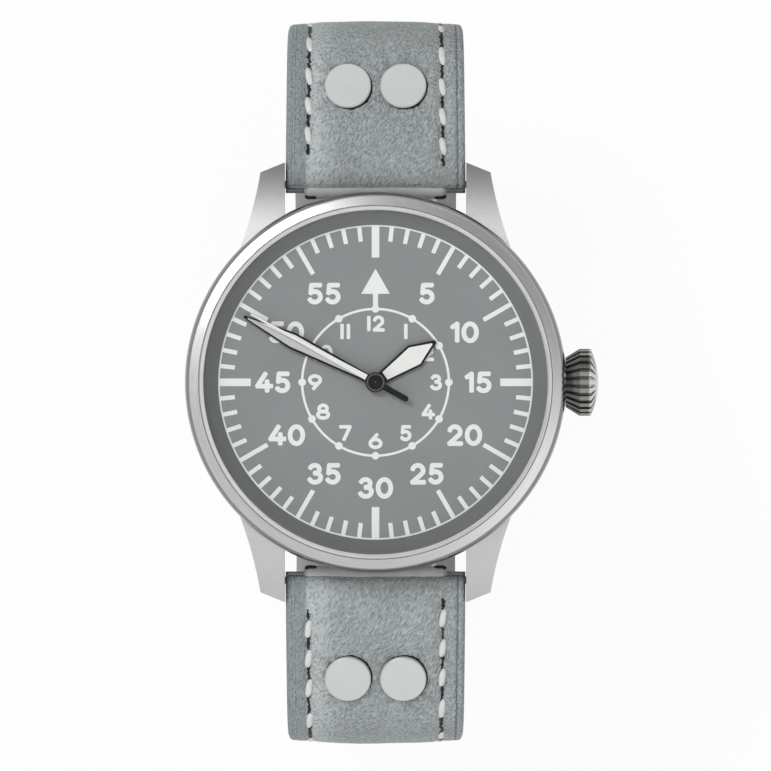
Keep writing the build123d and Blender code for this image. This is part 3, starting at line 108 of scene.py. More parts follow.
class StrapSizes(bpy.types.PropertyGroup):
    """Route and section of the strap halves"""
    lug_run_radius: millimetres("Lug run radius", "Curve of the strap between bar and bend", 90)
    bend_radius: millimetres("Bend radius", "Curve of the strap where it turns down", 6)
    side_radius: millimetres("Side radius", "Curve of the long half's side", 75)
    foot_radius: millimetres("Foot radius", "Curve of the long half above its flat tail", 16)
    curl_radius: millimetres("Curl radius", "Curve of the short half under the wrist", 25)
    start_angle: turn("Start angle", "Fall of the strap at its bar", 12)
    bend_angle: turn("Bend angle", "Fall of the strap where its bend starts", 20)
    side_angle: turn("Side angle", "Heading at the end of the long side", 112)
    long_length: millimetres("Long half", "Length of the half at 6 o'clock", 115)
    short_length: millimetres("Short half", "Length of the half at 12 o'clock", 75)
    root_thickness: millimetres("Root thickness", "Strap thickness at its bar", 3.8)
    padded_thickness: millimetres("Padded thickness", "Strap thickness at the rivets' far side", 4.4)
    bent_thickness: millimetres("Bent thickness", "Strap thickness after the bend", 3.6)
    thin_thickness: millimetres("Thin thickness", "Strap thickness at its tail", 2.6)
    behind_bar: millimetres("Behind the bar", "Strap beyond its bar, towards the case", 0.76)
    root_half: millimetres("Root half width", "Half the width between the lugs", 9.9)
    bend_half: millimetres("Bend half width", "Half the width at the bend", 9.6)
    end_half: millimetres("End half width", "Half the width at the tail", 9.0)
    lining: millimetres("Lining", "Thickness of the lining", 0.9)
    tip_length: millimetres("Tip length", "Length of the pointed end", 9)
    tip_half: millimetres("Tip half width", "Half the width of the blunt point", 3)
    hole_radius: millimetres("Hole radius", "Radius of a buckle hole", 1)
    hole_pitch: millimetres("Hole pitch", "Distance between buckle holes", 6.5)
    hole_margin: millimetres("Hole margin", "Distance from the tip to the last hole", 12)
    hole_count: number("Holes", "Number of buckle holes", 6)
    bore_radius: millimetres("Bore radius", "Radius of the bore for the spring bar", 0.8)
    edge_radius: millimetres("Edge radius", "Rounding of the leather's edges", 0.55)
    slot_length: millimetres("Slot length", "Length of the tongue's slot", 4)
    slot_half: millimetres("Slot half width", "Half the width of the tongue's slot", 1.2)
    buckle_bore: millimetres("Buckle bore", "Radius of the bore for the buckle's bar", 0.65)
    rivet_reach: millimetres("Rivet reach", "Distance of the rivets from the bar", 10.5)
    rivet_spacing: millimetres("Rivet spacing", "Distance between the two rivets", 6.1)
    rivet_radius: millimetres("Rivet radius", "Radius of a rivet's head", 2.55)
    fine_step: millimetres("Fine step", "Mesh step along the strap near the case", 0.26)
    coarse_step: millimetres("Coarse step", "Mesh step along the rest of the strap", 0.5)
    fine_reach: millimetres("Fine reach", "Length of the upper leather with fine steps", 26)
    lining_reach: millimetres("Lining reach", "Length of the lining with finer steps", 20)
    rows: number("Rows", "Mesh points across the upper leather", 88)
    lining_rows: number("Lining rows", "Mesh points across the lining", 40)


class ReliefSizes(bpy.types.PropertyGroup):
    """Padding, pressed lines and creases of the leather"""
    crease_inset: millimetres("Crease inset", "Distance of the pressed line from the edge", 0.85)
    crease_depth: millimetres("Crease depth", "Depth of the pressed line", 0.16)
    crease_spread: millimetres("Crease spread", "Half width of the pressed line", 0.13)
    seam_depth: millimetres("Seam depth", "Depth to which a stitch pulls the leather", 0.42)
    seam_spread: millimetres("Seam spread", "Half width of the pulled-in channel", 0.75)
    seam_lip: millimetres("Seam lip", "Height of the leather pushed up beside a seam", 0.07)
    pad_rise: millimetres("Pad rise", "Height of the padding between the seams", 0.3)
    pad_start: millimetres("Pad start", "Length from the bar at which the padding is full", 3)
    # The shaded end is painted shade on the strap's rounded end at the bar
    shaded_end: millimetres("Shaded end", "Length from the bar over which the leather is dark", 1.2)
    pucker_depth: millimetres("Pucker depth", "Depth of the creases round a rivet", 0.2)
    pucker_reach: millimetres("Pucker reach", "Fade of the creases away from a rivet", 1.3)
    pucker_span: millimetres("Pucker span", "Distance from a rivet at which its creases end", 4)
    wave_height: millimetres("Wave height", "Height of the leather's slow waves", 0.07)
    wave_across: millimetres("Wave across", "Size of a slow wave across the strap", 4.5)
    wave_along: millimetres("Wave along", "Size of a slow wave along the strap", 4)
    dent_height: millimetres("Dent height", "Height of the leather's small dents", 0.022)
    dent_across: millimetres("Dent across", "Size of a small dent across the strap", 1.1)
    dent_along: millimetres("Dent along", "Size of a small dent along the strap", 1.4)
    lining_lip: millimetres("Lining lip", "Depth of a seam's mark in the lining", 0.12)
    lining_spread: millimetres("Lining spread", "Half width of a seam's mark in the lining", 0.5)
    lining_wave: millimetres("Lining wave", "Height of the lining's waves", 0.03)
    lining_patch: millimetres("Lining patch", "Size of a wave of the lining", 3)


class LoopSizes(bpy.types.PropertyGroup):
    """Narrow leather loops round the spring bars"""
    half: millimetres("Half width", "Half the width of the loop", 7.85)
    radius: millimetres("Radius", "Radius of the loop", 1.6)
    unevenness: millimetres("Unevenness", "Height of the loop's small waves", 0.03)
    patch: millimetres("Patch", "Size of a small wave", 2)
    # Sizes of the dark pieces at the loop's ends, which stand in for shadow
    raw_inset: millimetres("Raw edge inset", "Distance of the raw edge's middle from the end", 0.75)
    raw_half: millimetres("Raw edge half", "Half the width of the raw edge", 0.72)
    raw_depth: millimetres("Raw edge depth", "Raw edge's middle below the loop's radius", 0.16)
    raw_thick: millimetres("Raw edge thickness", "Half the thickness of the raw edge", 0.3)
    raw_rise: millimetres("Raw edge rise", "Raw edge's middle above the bar", 0.25)
    raw_tall: millimetres("Raw edge height", "Half the height of the raw edge", 0.42)


class StitchSizes(bpy.types.PropertyGroup):
    """Thick thread along both edges of the strap"""
    inset: millimetres("Inset", "Distance of the seam from the edge", 2.45)
    length: millimetres("Length", "Visible length of a stitch", 2.2)
    pitch: millimetres("Pitch", "Distance from stitch to stitch", 3.35)
    radius: millimetres("Thread radius", "Half the thickness of the thread", 0.44)
    proud: millimetres("Proud", "Height of the thread's middle above the leather", 0.14)
    dive: millimetres("Dive", "How far a stitch's ends sink into the leather", 0.5)
    bend_sink: millimetres("Bend sink", "How far the stitches sink where the strap bends", 0.4)
    lining_sink: millimetres("Lining sink", "Depth of the stitches' base in the lining", 0.12)
    lean: turn("Lean", "Turn of each stitch against its seam", 7.5)
    waver: share("Waver", "How much the lean differs from stitch to stitch", 0.05)
    left_start: millimetres("Left start", "Start of the left seam from the bar", 3.4)
    right_start: millimetres("Right start", "Start of the right seam from the bar", 2.2)
    end_margin: millimetres("End margin", "Seam's end before the strap's end", 4.5)
    twist: share("Ply depth", "Depth of the grooves between the plies", 0.12)


class GrainSizes(bpy.types.PropertyGroup):
    """Wrinkles and pores of the upper leather, and its painted shade, shadow and light"""
    warp: millimetres("Warp", "How far the wrinkles wander", 0.9)
    warp_patch: millimetres("Warp patch", "Size of a patch in which they wander alike", 3)
    pore: millimetres("Pore", "Distance between pores", 0.42)
    fine: millimetres("Fine grain", "Size of the fine grain", 0.16)
    fold: millimetres("Wrinkle", "Width of a wrinkle", 0.22)
    fold_stretch: FloatProperty(name="Wrinkle stretch", description="Length of a wrinkle to its width",
                                default=2.6)
    fold_lean: turn("Wrinkle lean", "Direction of the wrinkles across the strap", -30)
    cloud: millimetres("Cloud", "Size of the leather's lighter and darker patches", 7)
    jag_patch: millimetres("Jag patch", "Length of a jag in the seams' dark line", 0.45)
    jag: millimetres("Jag", "Width over which the dark line jags", 0.7)
    # The seams' dark line is painted shade in the channel between the stitches
    seam_outer: millimetres("Seam outer", "Half width at which the dark line has ended", 0.2)
    seam_inner: millimetres("Seam inner", "Half width to which the line is fully dark", 0.1)
    seam_lead: millimetres("Seam lead", "Dark line ahead of the first stitch", 0.6)
    crease_outer: millimetres("Crease outer", "Half width at which the pressed line has ended", 0.11)
    crease_inner: millimetres("Crease inner", "Half width to which the pressed line is full", 0.04)
    # The rivets' dark pit is a painted shadow of the head on the leather
    rivet_pit: millimetres("Rivet pit", "Shift of the dark pit under a rivet's head", 0.17)
    pit_outer: millimetres("Pit outer", "Pit's end beyond the rivet's radius", 0.05)
    pit_inner: millimetres("Pit inner", "Full dark inside the rivet's radius", 0.03)
    # The left pad's paler tone is a painted highlight
    pale_start: millimetres("Pale start", "Distance from the middle where the left pad turns pale", 3.5)
    pale_full: millimetres("Pale full", "Distance from the middle where it is palest", 7)
    relief: millimetres("Relief", "Height of pores and wrinkles", 0.28)


class KeeperSizes(bpy.types.PropertyGroup):
    """Leather loops that hold the strap's tail"""
    wall: millimetres("Wall", "Thickness of a keeper", 1.1)
    corner: millimetres("Corner", "Outer corner radius of a keeper", 1.1)
    edge: share("Edge", "Rounding of a keeper's edges as a share of its wall", 0.32)
    groove: millimetres("Groove", "Depth of the pressed lines along a keeper", 0.09)
    groove_inset: millimetres("Groove inset", "Distance of a pressed line from the edge", 0.75)
    groove_spread: millimetres("Groove spread", "Half width of a pressed line", 0.11)
    wave: millimetres("Wave", "Height of a keeper's small waves", 0.02)


class NumeralSizes(bpy.types.PropertyGroup):
    """White figures on the dial"""
    minute_height: millimetres("Minute height", "Height of the minute figures", 2.33)
    hour_height: millimetres("Hour height", "Height of the hour figures", 1.75)
    minute_reach_x: millimetres("Minute reach X", "Half width of the minute figures' ring", 11.3)
    minute_reach_y: millimetres("Minute reach Y", "Half height of the minute figures' ring", 11.6)
    hour_reach_x: millimetres("Hour reach X", "Half width of the hour figures' ring", 6.65)
    hour_reach_y: millimetres("Hour reach Y", "Half height of the hour figures' ring", 6.45)
    weight: share("Weight", "Stroke width as a share of the height", 0.225)
    drop: share("Drop", "How far the upper minute numbers sit low, clear of the triangle", 0.14)
    spacing: share("Spacing", "Gap between two figures as a share of the height", 0.1)
    thickness: millimetres("Thickness", "Thickness of the printed paint", 0.05)


class BorderSizes(bpy.types.PropertyGroup):
    """Places where one finish of a piece ends and the next one starts"""
    top_inner: millimetres("Bezel top inner", "Inner radius of the bezel's brushed top", 19.46)
    top_outer: millimetres("Bezel top outer", "Outer radius of the bezel's brushed top", 20.43)
    # The flank's dark tone is a painted reflection of dark surroundings
    flank_inner: millimetres("Bezel flank inner", "Inner radius of the bezel's dark flank", 20.46)
    flank_outer: millimetres("Bezel flank outer", "Outer radius of the bezel's dark flank", 20.86)
    # The crystal's dark edge is painted shade where the crystal meets its gasket
    crystal_edge: millimetres("Crystal edge", "Radius of the crystal's dark edge", 18.88)
    # Where the painted shade of the flange ring on the dial starts
    dial_rim: millimetres("Dial rim", "Radius where the dial's dark rim starts", 17.3)
    crown_end: millimetres("Crown end", "Distance of the crown's domed end from the hands' axis", 23.475)
    flute_start: millimetres("Flute start", "Radius on the crown where its flutes start", 2.4)
    flute_count: number("Flutes", "Number of the crown's flutes", 25)
    seconds_hub: millimetres("Seconds hub", "Radius of the seconds hand's hub", 1.1)


class Finishes(bpy.types.PropertyGroup):
    """Colours of the watch"""
    leather: colour("Leather", "Upper leather", 0.353, 0.38, 0.382)
    # Dark leather colour: darkens the pores, and paints shade in wrinkle troughs, the right pressed line
    # and the left margin
    leather_dark: colour("Leather hollows", "Leather in its creases", 0.17, 0.195, 0.2)
    # Real edge paint of the strap, also the colour of the painted shade in its creases, seams and rivet
    # creases
    leather_edge: colour("Leather edge", "Painted edge of the strap", 0.15, 0.17, 0.172)
    # Near-black painted shade of the seam line, painted shadow beside a rivet, and the colour of the
    # dark pieces at the loops' ends
    leather_gap: colour("Leather gap", "Seam between stitches, and the pit beside a rivet", 0.012,
                        0.013, 0.014)
    loop: colour("Loop", "Loops round the spring bars", 0.52, 0.535, 0.525)
    lining: colour("Lining", "Lining leather", 0.36, 0.37, 0.35)
    thread: colour("Thread", "Waxed thread", 0.78, 0.79, 0.78)
    rivet: colour("Rivet", "Flat rivet heads", 0.6, 0.61, 0.61)
    steel: colour("Steel", "Satin steel of case and buckle", 0.6, 0.6, 0.6)
    bezel: colour("Bezel", "Brushed bezel", 0.57, 0.565, 0.565)
    crown: colour("Crown", "Crown steel", 0.6, 0.59, 0.57)
    dial: colour("Dial", "Dial paint", 0.262, 0.275, 0.275)
    # Painted shade that the flange ring casts on the dial
    dial_rim: colour("Dial rim", "Dial paint under the flange ring", 0.15, 0.155, 0.155)
    flange: colour("Flange", "Ring between dial and crystal", 0.195, 0.201, 0.199)
    print: colour("Print", "Paint of figures and track", 0.83, 0.85, 0.84)
    hand: colour("Hands", "Black paint of the hands", 0.012, 0.012, 0.013)
    lume: colour("Luminous filling", "Filling of the hands", 0.84, 0.84, 0.82)
    # Pale colour that the crystal's faint alpha lays over the dial as a painted sheen
    glass: colour("Crystal", "Sheen of the crystal", 0.8, 0.82, 0.82)
    # Painted shade at the crystal's rim
    glass_edge: colour("Crystal edge", "Dark edge of the crystal", 0.02, 0.022, 0.022)
    plate: colour("Plates", "Nickel plating of the movement", 0.7, 0.69, 0.66)
    brass: colour("Brass", "Wheels", 0.78, 0.58, 0.28)
    pinion: colour("Pinions", "Polished steel of pinions and springs", 0.5, 0.5, 0.52)
    jewel: colour("Jewels", "Ruby bearings", 0.55, 0.02, 0.07)
    rubber: colour("Rubber", "Gaskets", 0.03, 0.03, 0.03)
    nylon: colour("Nylon", "Pale gasket of the crystal", 0.62, 0.63, 0.62)
    plastic: colour("Plastic", "Movement ring", 0.72, 0.72, 0.7)
    floor: colour("Floor", "Pale floor of the studio", 0.93, 0.93, 0.93)


class StageSizes(bpy.types.PropertyGroup):
    """Camera, floor and light"""
    camera_distance: metres("Camera distance", "Camera above the bezel", 1.5)
    view_width: millimetres("View width", "Width seen by the camera at the bezel", 84.54)
    camera_x: millimetres("Camera X", "Camera's place beside the dial's centre", 1.0965)
    camera_y: millimetres("Camera Y", "Camera's place above the dial's centre", -0.351)
    floor_size: metres("Floor", "Side of the floor", 1.6)
    floor_glow: share("Floor glow", "Share of the floor that the camera sees as plain white", 0.93)
    key_power: FloatProperty(name="Key light", description="Power of the key light", default=1.25,
                             unit="POWER", min=0.0)
    key_place: spot("Key place", "Place of the key light", -0.22, 0.24, 0.5)
    key_size: metres("Key size", "Side of the key light", 0.16)
    rim_share: share("Rim light", "Power of the rim light as a share of the key light's", 0.25)
    rim_place: spot("Rim place", "Place of the rim light", 0.3, -0.18, 0.42)
    rim_size: metres("Rim size", "Side of the rim light", 0.3)
    fill_level: share("Fill", "Brightness of the studio's walls", 0.3)
    fill_least: share("Least fill", "Brightness of the darkest wall", 0.05)
    fill_slope: FloatVectorProperty(
        name="Fill slope", description="How the walls brighten to the right, to the back and upwards",
        default=(-0.14, -0.4, 0.5), subtype="XYZ", size=3)


# Meshes

def add_mesh(name, points, faces, smooth=True):
    """New mesh object from points and faces."""
    mesh = bpy.data.meshes.new(name)
    mesh.from_pydata(points, [], faces)
    mesh.validate()
    if smooth:
        mesh.shade_smooth()
    else:
        mesh.shade_flat()
    made = bpy.data.objects.new(name, mesh)
    bpy.context.scene.collection.objects.link(made)
    return made


def add_values(made, name, values):
    """Stores one number a point on a mesh, for its material."""
    layer = made.data.attributes.new(name, "FLOAT", "POINT")
    layer.data.foreach_set("value", values)


def tube_faces(ring_count, ring_size, first=0):
    """Faces between rings of points that follow each other."""
    faces = []
    for ring in range(ring_count - 1):
        low = first + ring * ring_size
        for index in range(ring_size):
            after = (index + 1) % ring_size
            faces.append((low + index, low + after, low + ring_size + after, low + ring_size + index))
    return faces


def closed_tube(ring_count, ring_size, first=0):
    """Faces of a tube with a flat face at both ends."""
    last = first + (ring_count - 1) * ring_size
    ends = [tuple(reversed(range(first, first + ring_size))), tuple(range(last, last + ring_size))]
    return tube_faces(ring_count, ring_size, first) + ends


def flipped(faces):
    """Faces turned to look the other way."""
    return [tuple(reversed(face)) for face in faces]


def apply_cut(made, cutters):
    """Cuts solids out of a mesh and removes them."""
    for cutter in cutters:
        cut = made.modifiers.new("cut", "BOOLEAN")
        cut.operation, cut.object, cut.solver = "DIFFERENCE", cutter, "EXACT"
    baked = bpy.data.meshes.new_from_object(
        made.evaluated_get(bpy.context.evaluated_depsgraph_get()))
    made.modifiers.clear()
    made.data = baked
    for cutter in cutters:
        bpy.data.objects.remove(cutter)


def round_cutter(radius, half_length, centre, axis):
    """Closed round bar used to cut a hole."""
    sides = 40
    turned = Vector((0, 0, 1)).rotation_difference(Vector(axis)).to_matrix()
    points = [Vector(centre) + turned @ Vector((radius * cos(2 * pi * side / sides),
                                                radius * sin(2 * pi * side / sides), end))
              for end in (-half_length, half_length) for side in range(sides)]
    return add_mesh("cutter", points, closed_tube(2, sides))


def block_cutter(low, high):
    """Closed block used to cut a slot."""
    points = [Vector((x, y, z)) for z in (low[2], high[2]) for x, y in (
        (low[0], low[1]), (high[0], low[1]), (high[0], high[1]), (low[0], high[1]))]
    return add_mesh("cutter", points, closed_tube(2, 4))


# Strap

def between(steps, value):
    """Straight-line value between the steps of a list of pairs."""
    if value <= steps[0][0]:
        return steps[0][1]
    for (low, first), (high, second) in zip(steps, steps[1:]):
        if value <= high:
            return first + (second - first) * (value - low) / (high - low)
    return steps[-1][1]


def bell(value, spread):
    """Smooth bump of height 1 round zero."""
    return exp(-(value / spread) ** 2)


def rounding(distance, radius):
    """Fall of a rounded edge at a distance in from it."""
    part = max(0.0, 1 - distance / radius)
    return radius * (1 - sqrt(max(0.0, 1 - part * part)))


class Route:
    """Centre line of a strap half, running out from its spring bar, over its bend and down."""

    def __init__(self, sizes, long):
        self.long = long
        self.facing = -1 if long else 1
        bar = Vector(JOINTS["strap_6_swing" if long else "strap_12_swing"]["pos_m"])
        down, flat = pi / 2, pi
        arcs = [(sizes.lug_run_radius, sizes.start_angle, sizes.bend_angle),
                (sizes.bend_radius, sizes.bend_angle, down)]
        if long:
            arcs += [(sizes.side_radius, down, sizes.side_angle),
                     (sizes.foot_radius, sizes.side_angle, flat)]
        else:
            arcs.append((sizes.curl_radius, down, flat))
        self.length = sizes.long_length if long else sizes.short_length
        self.runs = []
        reach, height, along = abs(bar.y), bar.z, 0.0
        for radius, start, end in arcs:
            self.runs.append((along, reach, height, start, radius))
            reach += radius * (sin(end) - sin(start))
            height += radius * (cos(end) - cos(start))
            along += radius * (end - start)
        self.runs.append((along, reach, height, flat, None))
        steps = [run[0] for run in self.runs] + [self.length]
        thickness = [sizes.root_thickness, sizes.padded_thickness, sizes.bent_thickness]
        thickness += [sizes.thin_thickness] * (len(steps) - len(thickness))
        self.thickness_steps = list(zip(steps, thickness))
        thin_z = Vector(JOINTS["buckle_swing"]["pos_m"]).z
        after_bend_z = self.runs[2][2]
        self.width_steps = [(thin_z, sizes.end_half), (after_bend_z, sizes.bend_half),
                            (bar.z, sizes.root_half)]

    def at(self, along):
        """Centre and outward direction at a length along the strap."""
        run = [item for item in self.runs if item[0] <= along or item is self.runs[0]][-1]
        start, reach, height, heading, radius = run
        if radius is None or along < 0:
            reach += (along - start) * cos(heading)
            height -= (along - start) * sin(heading)
        else:
            end = heading + (along - start) / radius
            reach += radius * (sin(end) - sin(heading))
            height += radius * (cos(end) - cos(heading))
            heading = end
        return (Vector((0, reach * self.facing, height)),
                Vector((0, sin(heading) * self.facing, cos(heading))))

    def thickness(self, along):
        """Thickness of the strap at a length along it."""
        return between(self.thickness_steps, along)

    def half_width(self, along, sizes):
        """Half the strap's width at a length along it, narrowing to the long half's blunt point."""
        half = between(self.width_steps, self.at(along)[0].z)
        if self.long and along > self.length - sizes.tip_length:
            part = (along - self.length + sizes.tip_length) / sizes.tip_length
            bluntness = 1.6
            half = sizes.tip_half + (sizes.end_half - sizes.tip_half) * sqrt(
                max(0.0, 1 - part ** bluntness))
        return half

    def place(self, x, along, offset):
        """Point at a place across and along the strap, and a height over its centre line."""
        centre, out = self.at(along)
        return Vector((x, 0, 0)) + centre + out * offset


def seam_places(route, stitches, sign):
    """Middle of each stitch of one seam. The sign tells left from right, seen from above."""
    start = stitches.left_start if sign < 0 else stitches.right_start
    count = int((route.length - stitches.end_margin - start) / stitches.pitch)
    return [start + stitches.pitch * (index + 0.5) for index in range(count)]


def relief_share(along):
    """Share of the seam's and the padding's relief that is left where the strap bends down."""
    return between(BEND_RELIEF_SHARES, along)


def seam_relief(route, x, along, half, relief, stitches):
    """Channel that the stitches pull into the leather, and the painted shade in its fold."""
    start = stitches.left_start if x < 0 else stitches.right_start
    phase = (along - start) / stitches.pitch
    if phase <= 0.0 or along >= route.length - stitches.end_margin:
        return 0.0, 0.0
    distance = abs(abs(x) - (half - stitches.inset))
    pull = 0.62 + 0.38 * cos(2 * pi * phase)
    ease = 1 - pull
    wide = relief.seam_spread * (0.75 + 0.35 * ease)
    channel = relief.seam_depth * bell(distance, wide) * (0.55 + 0.45 * pull)
    lip = relief.seam_lip * bell(distance - wide * 1.7, wide * 0.6) * ease
    return lip - channel, 0.45 * bell(distance, wide * 0.5) * pull


def pad_relief(x, along, half, relief, sizes, stitches):
    """Crown of the padding, which the bend spreads over the strap's whole width."""
    full = relief_share(along)
    fade = between(PADDING_SHARES, along)
    spread = 1.4 * (1 - full)
    rise = spread * relief.pad_rise * fade * (1 - (x / half) ** 2)
    pad_half = half - stitches.inset
    if abs(x) < pad_half:
        start_fade = between([(-sizes.behind_bar, 0.0), (relief.pad_start, 1.0)], along)
        rise += full * relief.pad_rise * fade * start_fade * sqrt(1 - (abs(x) / pad_half) ** 3)
    return rise


def rivet_relief(x, along, relief, sizes):
    """Creases that run out from the two rivets, and the painted shade in them."""
    rise, painted_shade = 0.0, 0.0
    crease_density, crease_strength = 3.1, 2.2
    for side in (-1, 1):
        across = x - side * sizes.rivet_spacing / 2
        ahead = along - sizes.rivet_reach
        away = hypot(across, ahead) - sizes.rivet_radius
        if away < relief.pucker_span:
            heading = atan2(ahead, across)
            ripple = crease_strength * abs(noise.noise(Vector((
                crease_density * cos(heading), crease_density * sin(heading), 5.0 * side))))
            near = exp(-max(0.0, away) / relief.pucker_reach)
            rise -= relief.pucker_depth * near * (0.8 + 2.0 * ripple)
            painted_shade += 0.25 * near * ripple
    return rise, painted_shade


def unevenness(route, x, along, relief):
    """Slow waves and small dents of hand-worked leather."""
    wave = noise.noise(Vector((x / relief.wave_across, along / relief.wave_along, route.facing * 7.0)))
    dent = noise.noise(Vector((x / relief.dent_across, along / relief.dent_along, route.facing * 3.0)))
    return relief.wave_height * wave + relief.dent_height * dent


def top_relief(route, x, along, scene):
    """Height of the leather over its flat face, and its painted shade from 0 to 1: in creases, seams,
    rivet creases, on the end at the bar and on the rounded edges, where it is partly real edge paint.
    """
    sizes, relief, stitches = scene.strap_sizes, scene.relief_sizes, scene.stitch_sizes
    half = route.half_width(along, sizes)
    edge = half - abs(x)
    crease = bell(edge - relief.crease_inset, relief.crease_spread)
    seam, seam_shade = seam_relief(route, x, along, half, relief, stitches)
    pucker, pucker_shade = rivet_relief(x, along, relief, sizes)
    rise = relief_share(along) * (seam - relief.crease_depth * crease) + pucker
    rise += pad_relief(x, along, half, relief, sizes, stitches)
    rise += unevenness(route, x, along, relief)
    rise -= rounding(edge, sizes.edge_radius)
    rise -= rounding(along + sizes.behind_bar, sizes.edge_radius)
    if route.long:
        rise -= rounding(route.length - along, sizes.edge_radius)
    painted_shade = 0.35 * max(0.0, 1 - edge / sizes.edge_radius) + 0.4 * crease + seam_shade + pucker_shade
    # painted shade on the rounded end at the bar
    painted_shade += between([(-sizes.behind_bar, 0.75), (relief.shaded_end, 0.0)], along)
    return rise, min(1.0, painted_shade)


def stations(start, end, fine_end, fine, coarse):
    """Places along the strap, closer together near the case, with both ends kept."""
    first = ceil((fine_end - start) / fine)
    places = [start + (fine_end - start) * index / first for index in range(first)]
    rest = ceil((end - fine_end) / coarse)
    return places + [fine_end + (end - fine_end) * index / rest for index in range(rest + 1)]


def band(name, route, places, rows, upper, lower, sizes):
    """Closed band along a route. upper and lower give a height and a painted shade for each point."""
    points, values, edges, lengths = [], [], [], []
    crowding = 0.25
    for along in places:
        half = route.half_width(along, sizes)
        across = [half * sin(pi / 2 * (2 * index / (rows - 1) - 1)) * crowding
                  + half * (2 * index / (rows - 1) - 1) * (1 - crowding) for index in range(rows)]
        top = [upper(x, along) for x in across]
        low = [lower(x, along) for x in across]
        points += [route.place(x, along, item[0]) for x, item in zip(across, top)]
        points += [route.place(x, along, item[0]) for x, item in zip(reversed(across), reversed(low))]
        values += [item[1] for item in top] + [item[1] for item in reversed(low)]
        edges += [half - abs(x) for x in (*across, *reversed(across))]
        lengths += [along] * (2 * rows)
    size = 2 * rows
    faces = tube_faces(len(places), size)
    for first in (0, (len(places) - 1) * size):
        for index in range(rows - 1):
            quad = (first + index, first + index + 1, first + size - 2 - index, first + size - 1 - index)
            faces.append(quad if first == 0 else tuple(reversed(quad)))
    made = add_mesh(name, points, flipped(faces) if route.facing > 0 else faces)
    add_values(made, "painted_shade", values)
    add_values(made, "edge", edges)
    add_values(made, "along", lengths)
    return made


def strap_cutters(route, sizes):
    """Bore of the spring bar, and the buckle holes of the long half."""
    bar, _ = route.at(0.0)
    wide = 2 * sizes.root_half
    cutters = [round_cutter(sizes.bore_radius, wide, bar, (1, 0, 0))]
    if route.long:
        for index in range(sizes.hole_count):
            along = route.length - sizes.hole_margin - index * sizes.hole_pitch
            centre, out = route.at(along)
            cutters.append(round_cutter(sizes.hole_radius, sizes.root_thickness, centre, out))
    return cutters


def leather_half(name, route, scene):
    """Padded upper leather of one half. The short half's end is rounded over the buckle's bar."""
    sizes = scene.strap_sizes
    overlap = 0.0 if route.long else sizes.thin_thickness / 2
    places = stations(-sizes.behind_bar, route.length + overlap, sizes.fine_reach, sizes.fine_step,
                      sizes.coarse_step)
    lined = route.length + (sizes.coarse_step if route.long else -sizes.slot_length)
    # painted shade on the face on the lining and on the bare inner face
    under_shade = 0.4

    def nose(along):
        """Share of the thickness that is left on the rounded end."""
        beyond = max(0.0, along - route.length)
        return sqrt(max(0.0, 1 - (beyond / overlap) ** 2)) if overlap else 1.0

    def upper(x, along):
        """Outer face."""
        rise, painted_shade = top_relief(route, x, min(along, route.length), scene)
        return (route.thickness(along) / 2 + rise) * nose(along), painted_shade

    def lower(x, along):
        """Face on the lining, or the bare inner face where the lining has ended."""
        under = -route.thickness(along) / 2
        if along < lined:
            under += sizes.lining
        return under * nose(along), under_shade

    made = band(name, route, places, sizes.rows, upper, lower, sizes)
    cutters = strap_cutters(route, sizes)
    if not route.long:
        centre, _ = route.at(route.length)
        cutters.append(round_cutter(sizes.buckle_bore, 2 * sizes.root_half, centre, (1, 0, 0)))
        cutters.append(block_cutter(
            (-sizes.slot_half, centre.y - 2 * overlap, centre.z - 2 * overlap),
            (sizes.slot_half, centre.y + sizes.slot_length, centre.z + 2 * overlap)))
    apply_cut(made, cutters)
    return made


def lining_half(name, route, scene):
    """Smooth lining of one half, with the marks that the seams leave."""
    sizes, relief, stitches = scene.strap_sizes, scene.relief_sizes, scene.stitch_sizes
    edge_radius = sizes.edge_radius / 2
    end = route.length if route.long else route.length - sizes.slot_length
    places = stations(edge_radius - sizes.behind_bar, end, sizes.lining_reach, 2 * sizes.fine_step,
                      sizes.coarse_step)

    def upper(x, along):
        """Face under the upper leather."""
        return sizes.lining - route.thickness(along) / 2, 0.0

    def lower(x, along):
        """Face on the wrist."""
        edge = route.half_width(along, sizes) - abs(x)
        seam = bell(edge - stitches.inset, relief.lining_spread)
        if not stitches.left_start < along < route.length - stitches.end_margin:
            seam = 0.0
        wave = noise.noise(Vector((x / relief.lining_patch, along / relief.lining_patch, 1.0)))
        rise = rounding(edge, edge_radius) + relief.lining_lip * seam + relief.lining_wave * wave
        # painted shade at the seam marks and the rounded edges
        painted_shade = 0.5 * seam + 0.4 * max(0.0, 1 - edge / edge_radius)
        return rise - route.thickness(along) / 2, painted_shade

    made = band(name, route, places, sizes.lining_rows, upper, lower, sizes)
    apply_cut(made, strap_cutters(route, sizes))
    return made


def bar_axes(route):
    """Spring bar's centre, the direction back towards the case and the one out of the leather."""
    centre, out = route.at(0.0)
    return centre, Vector((0, -route.facing * out.z, abs(out.y))), out


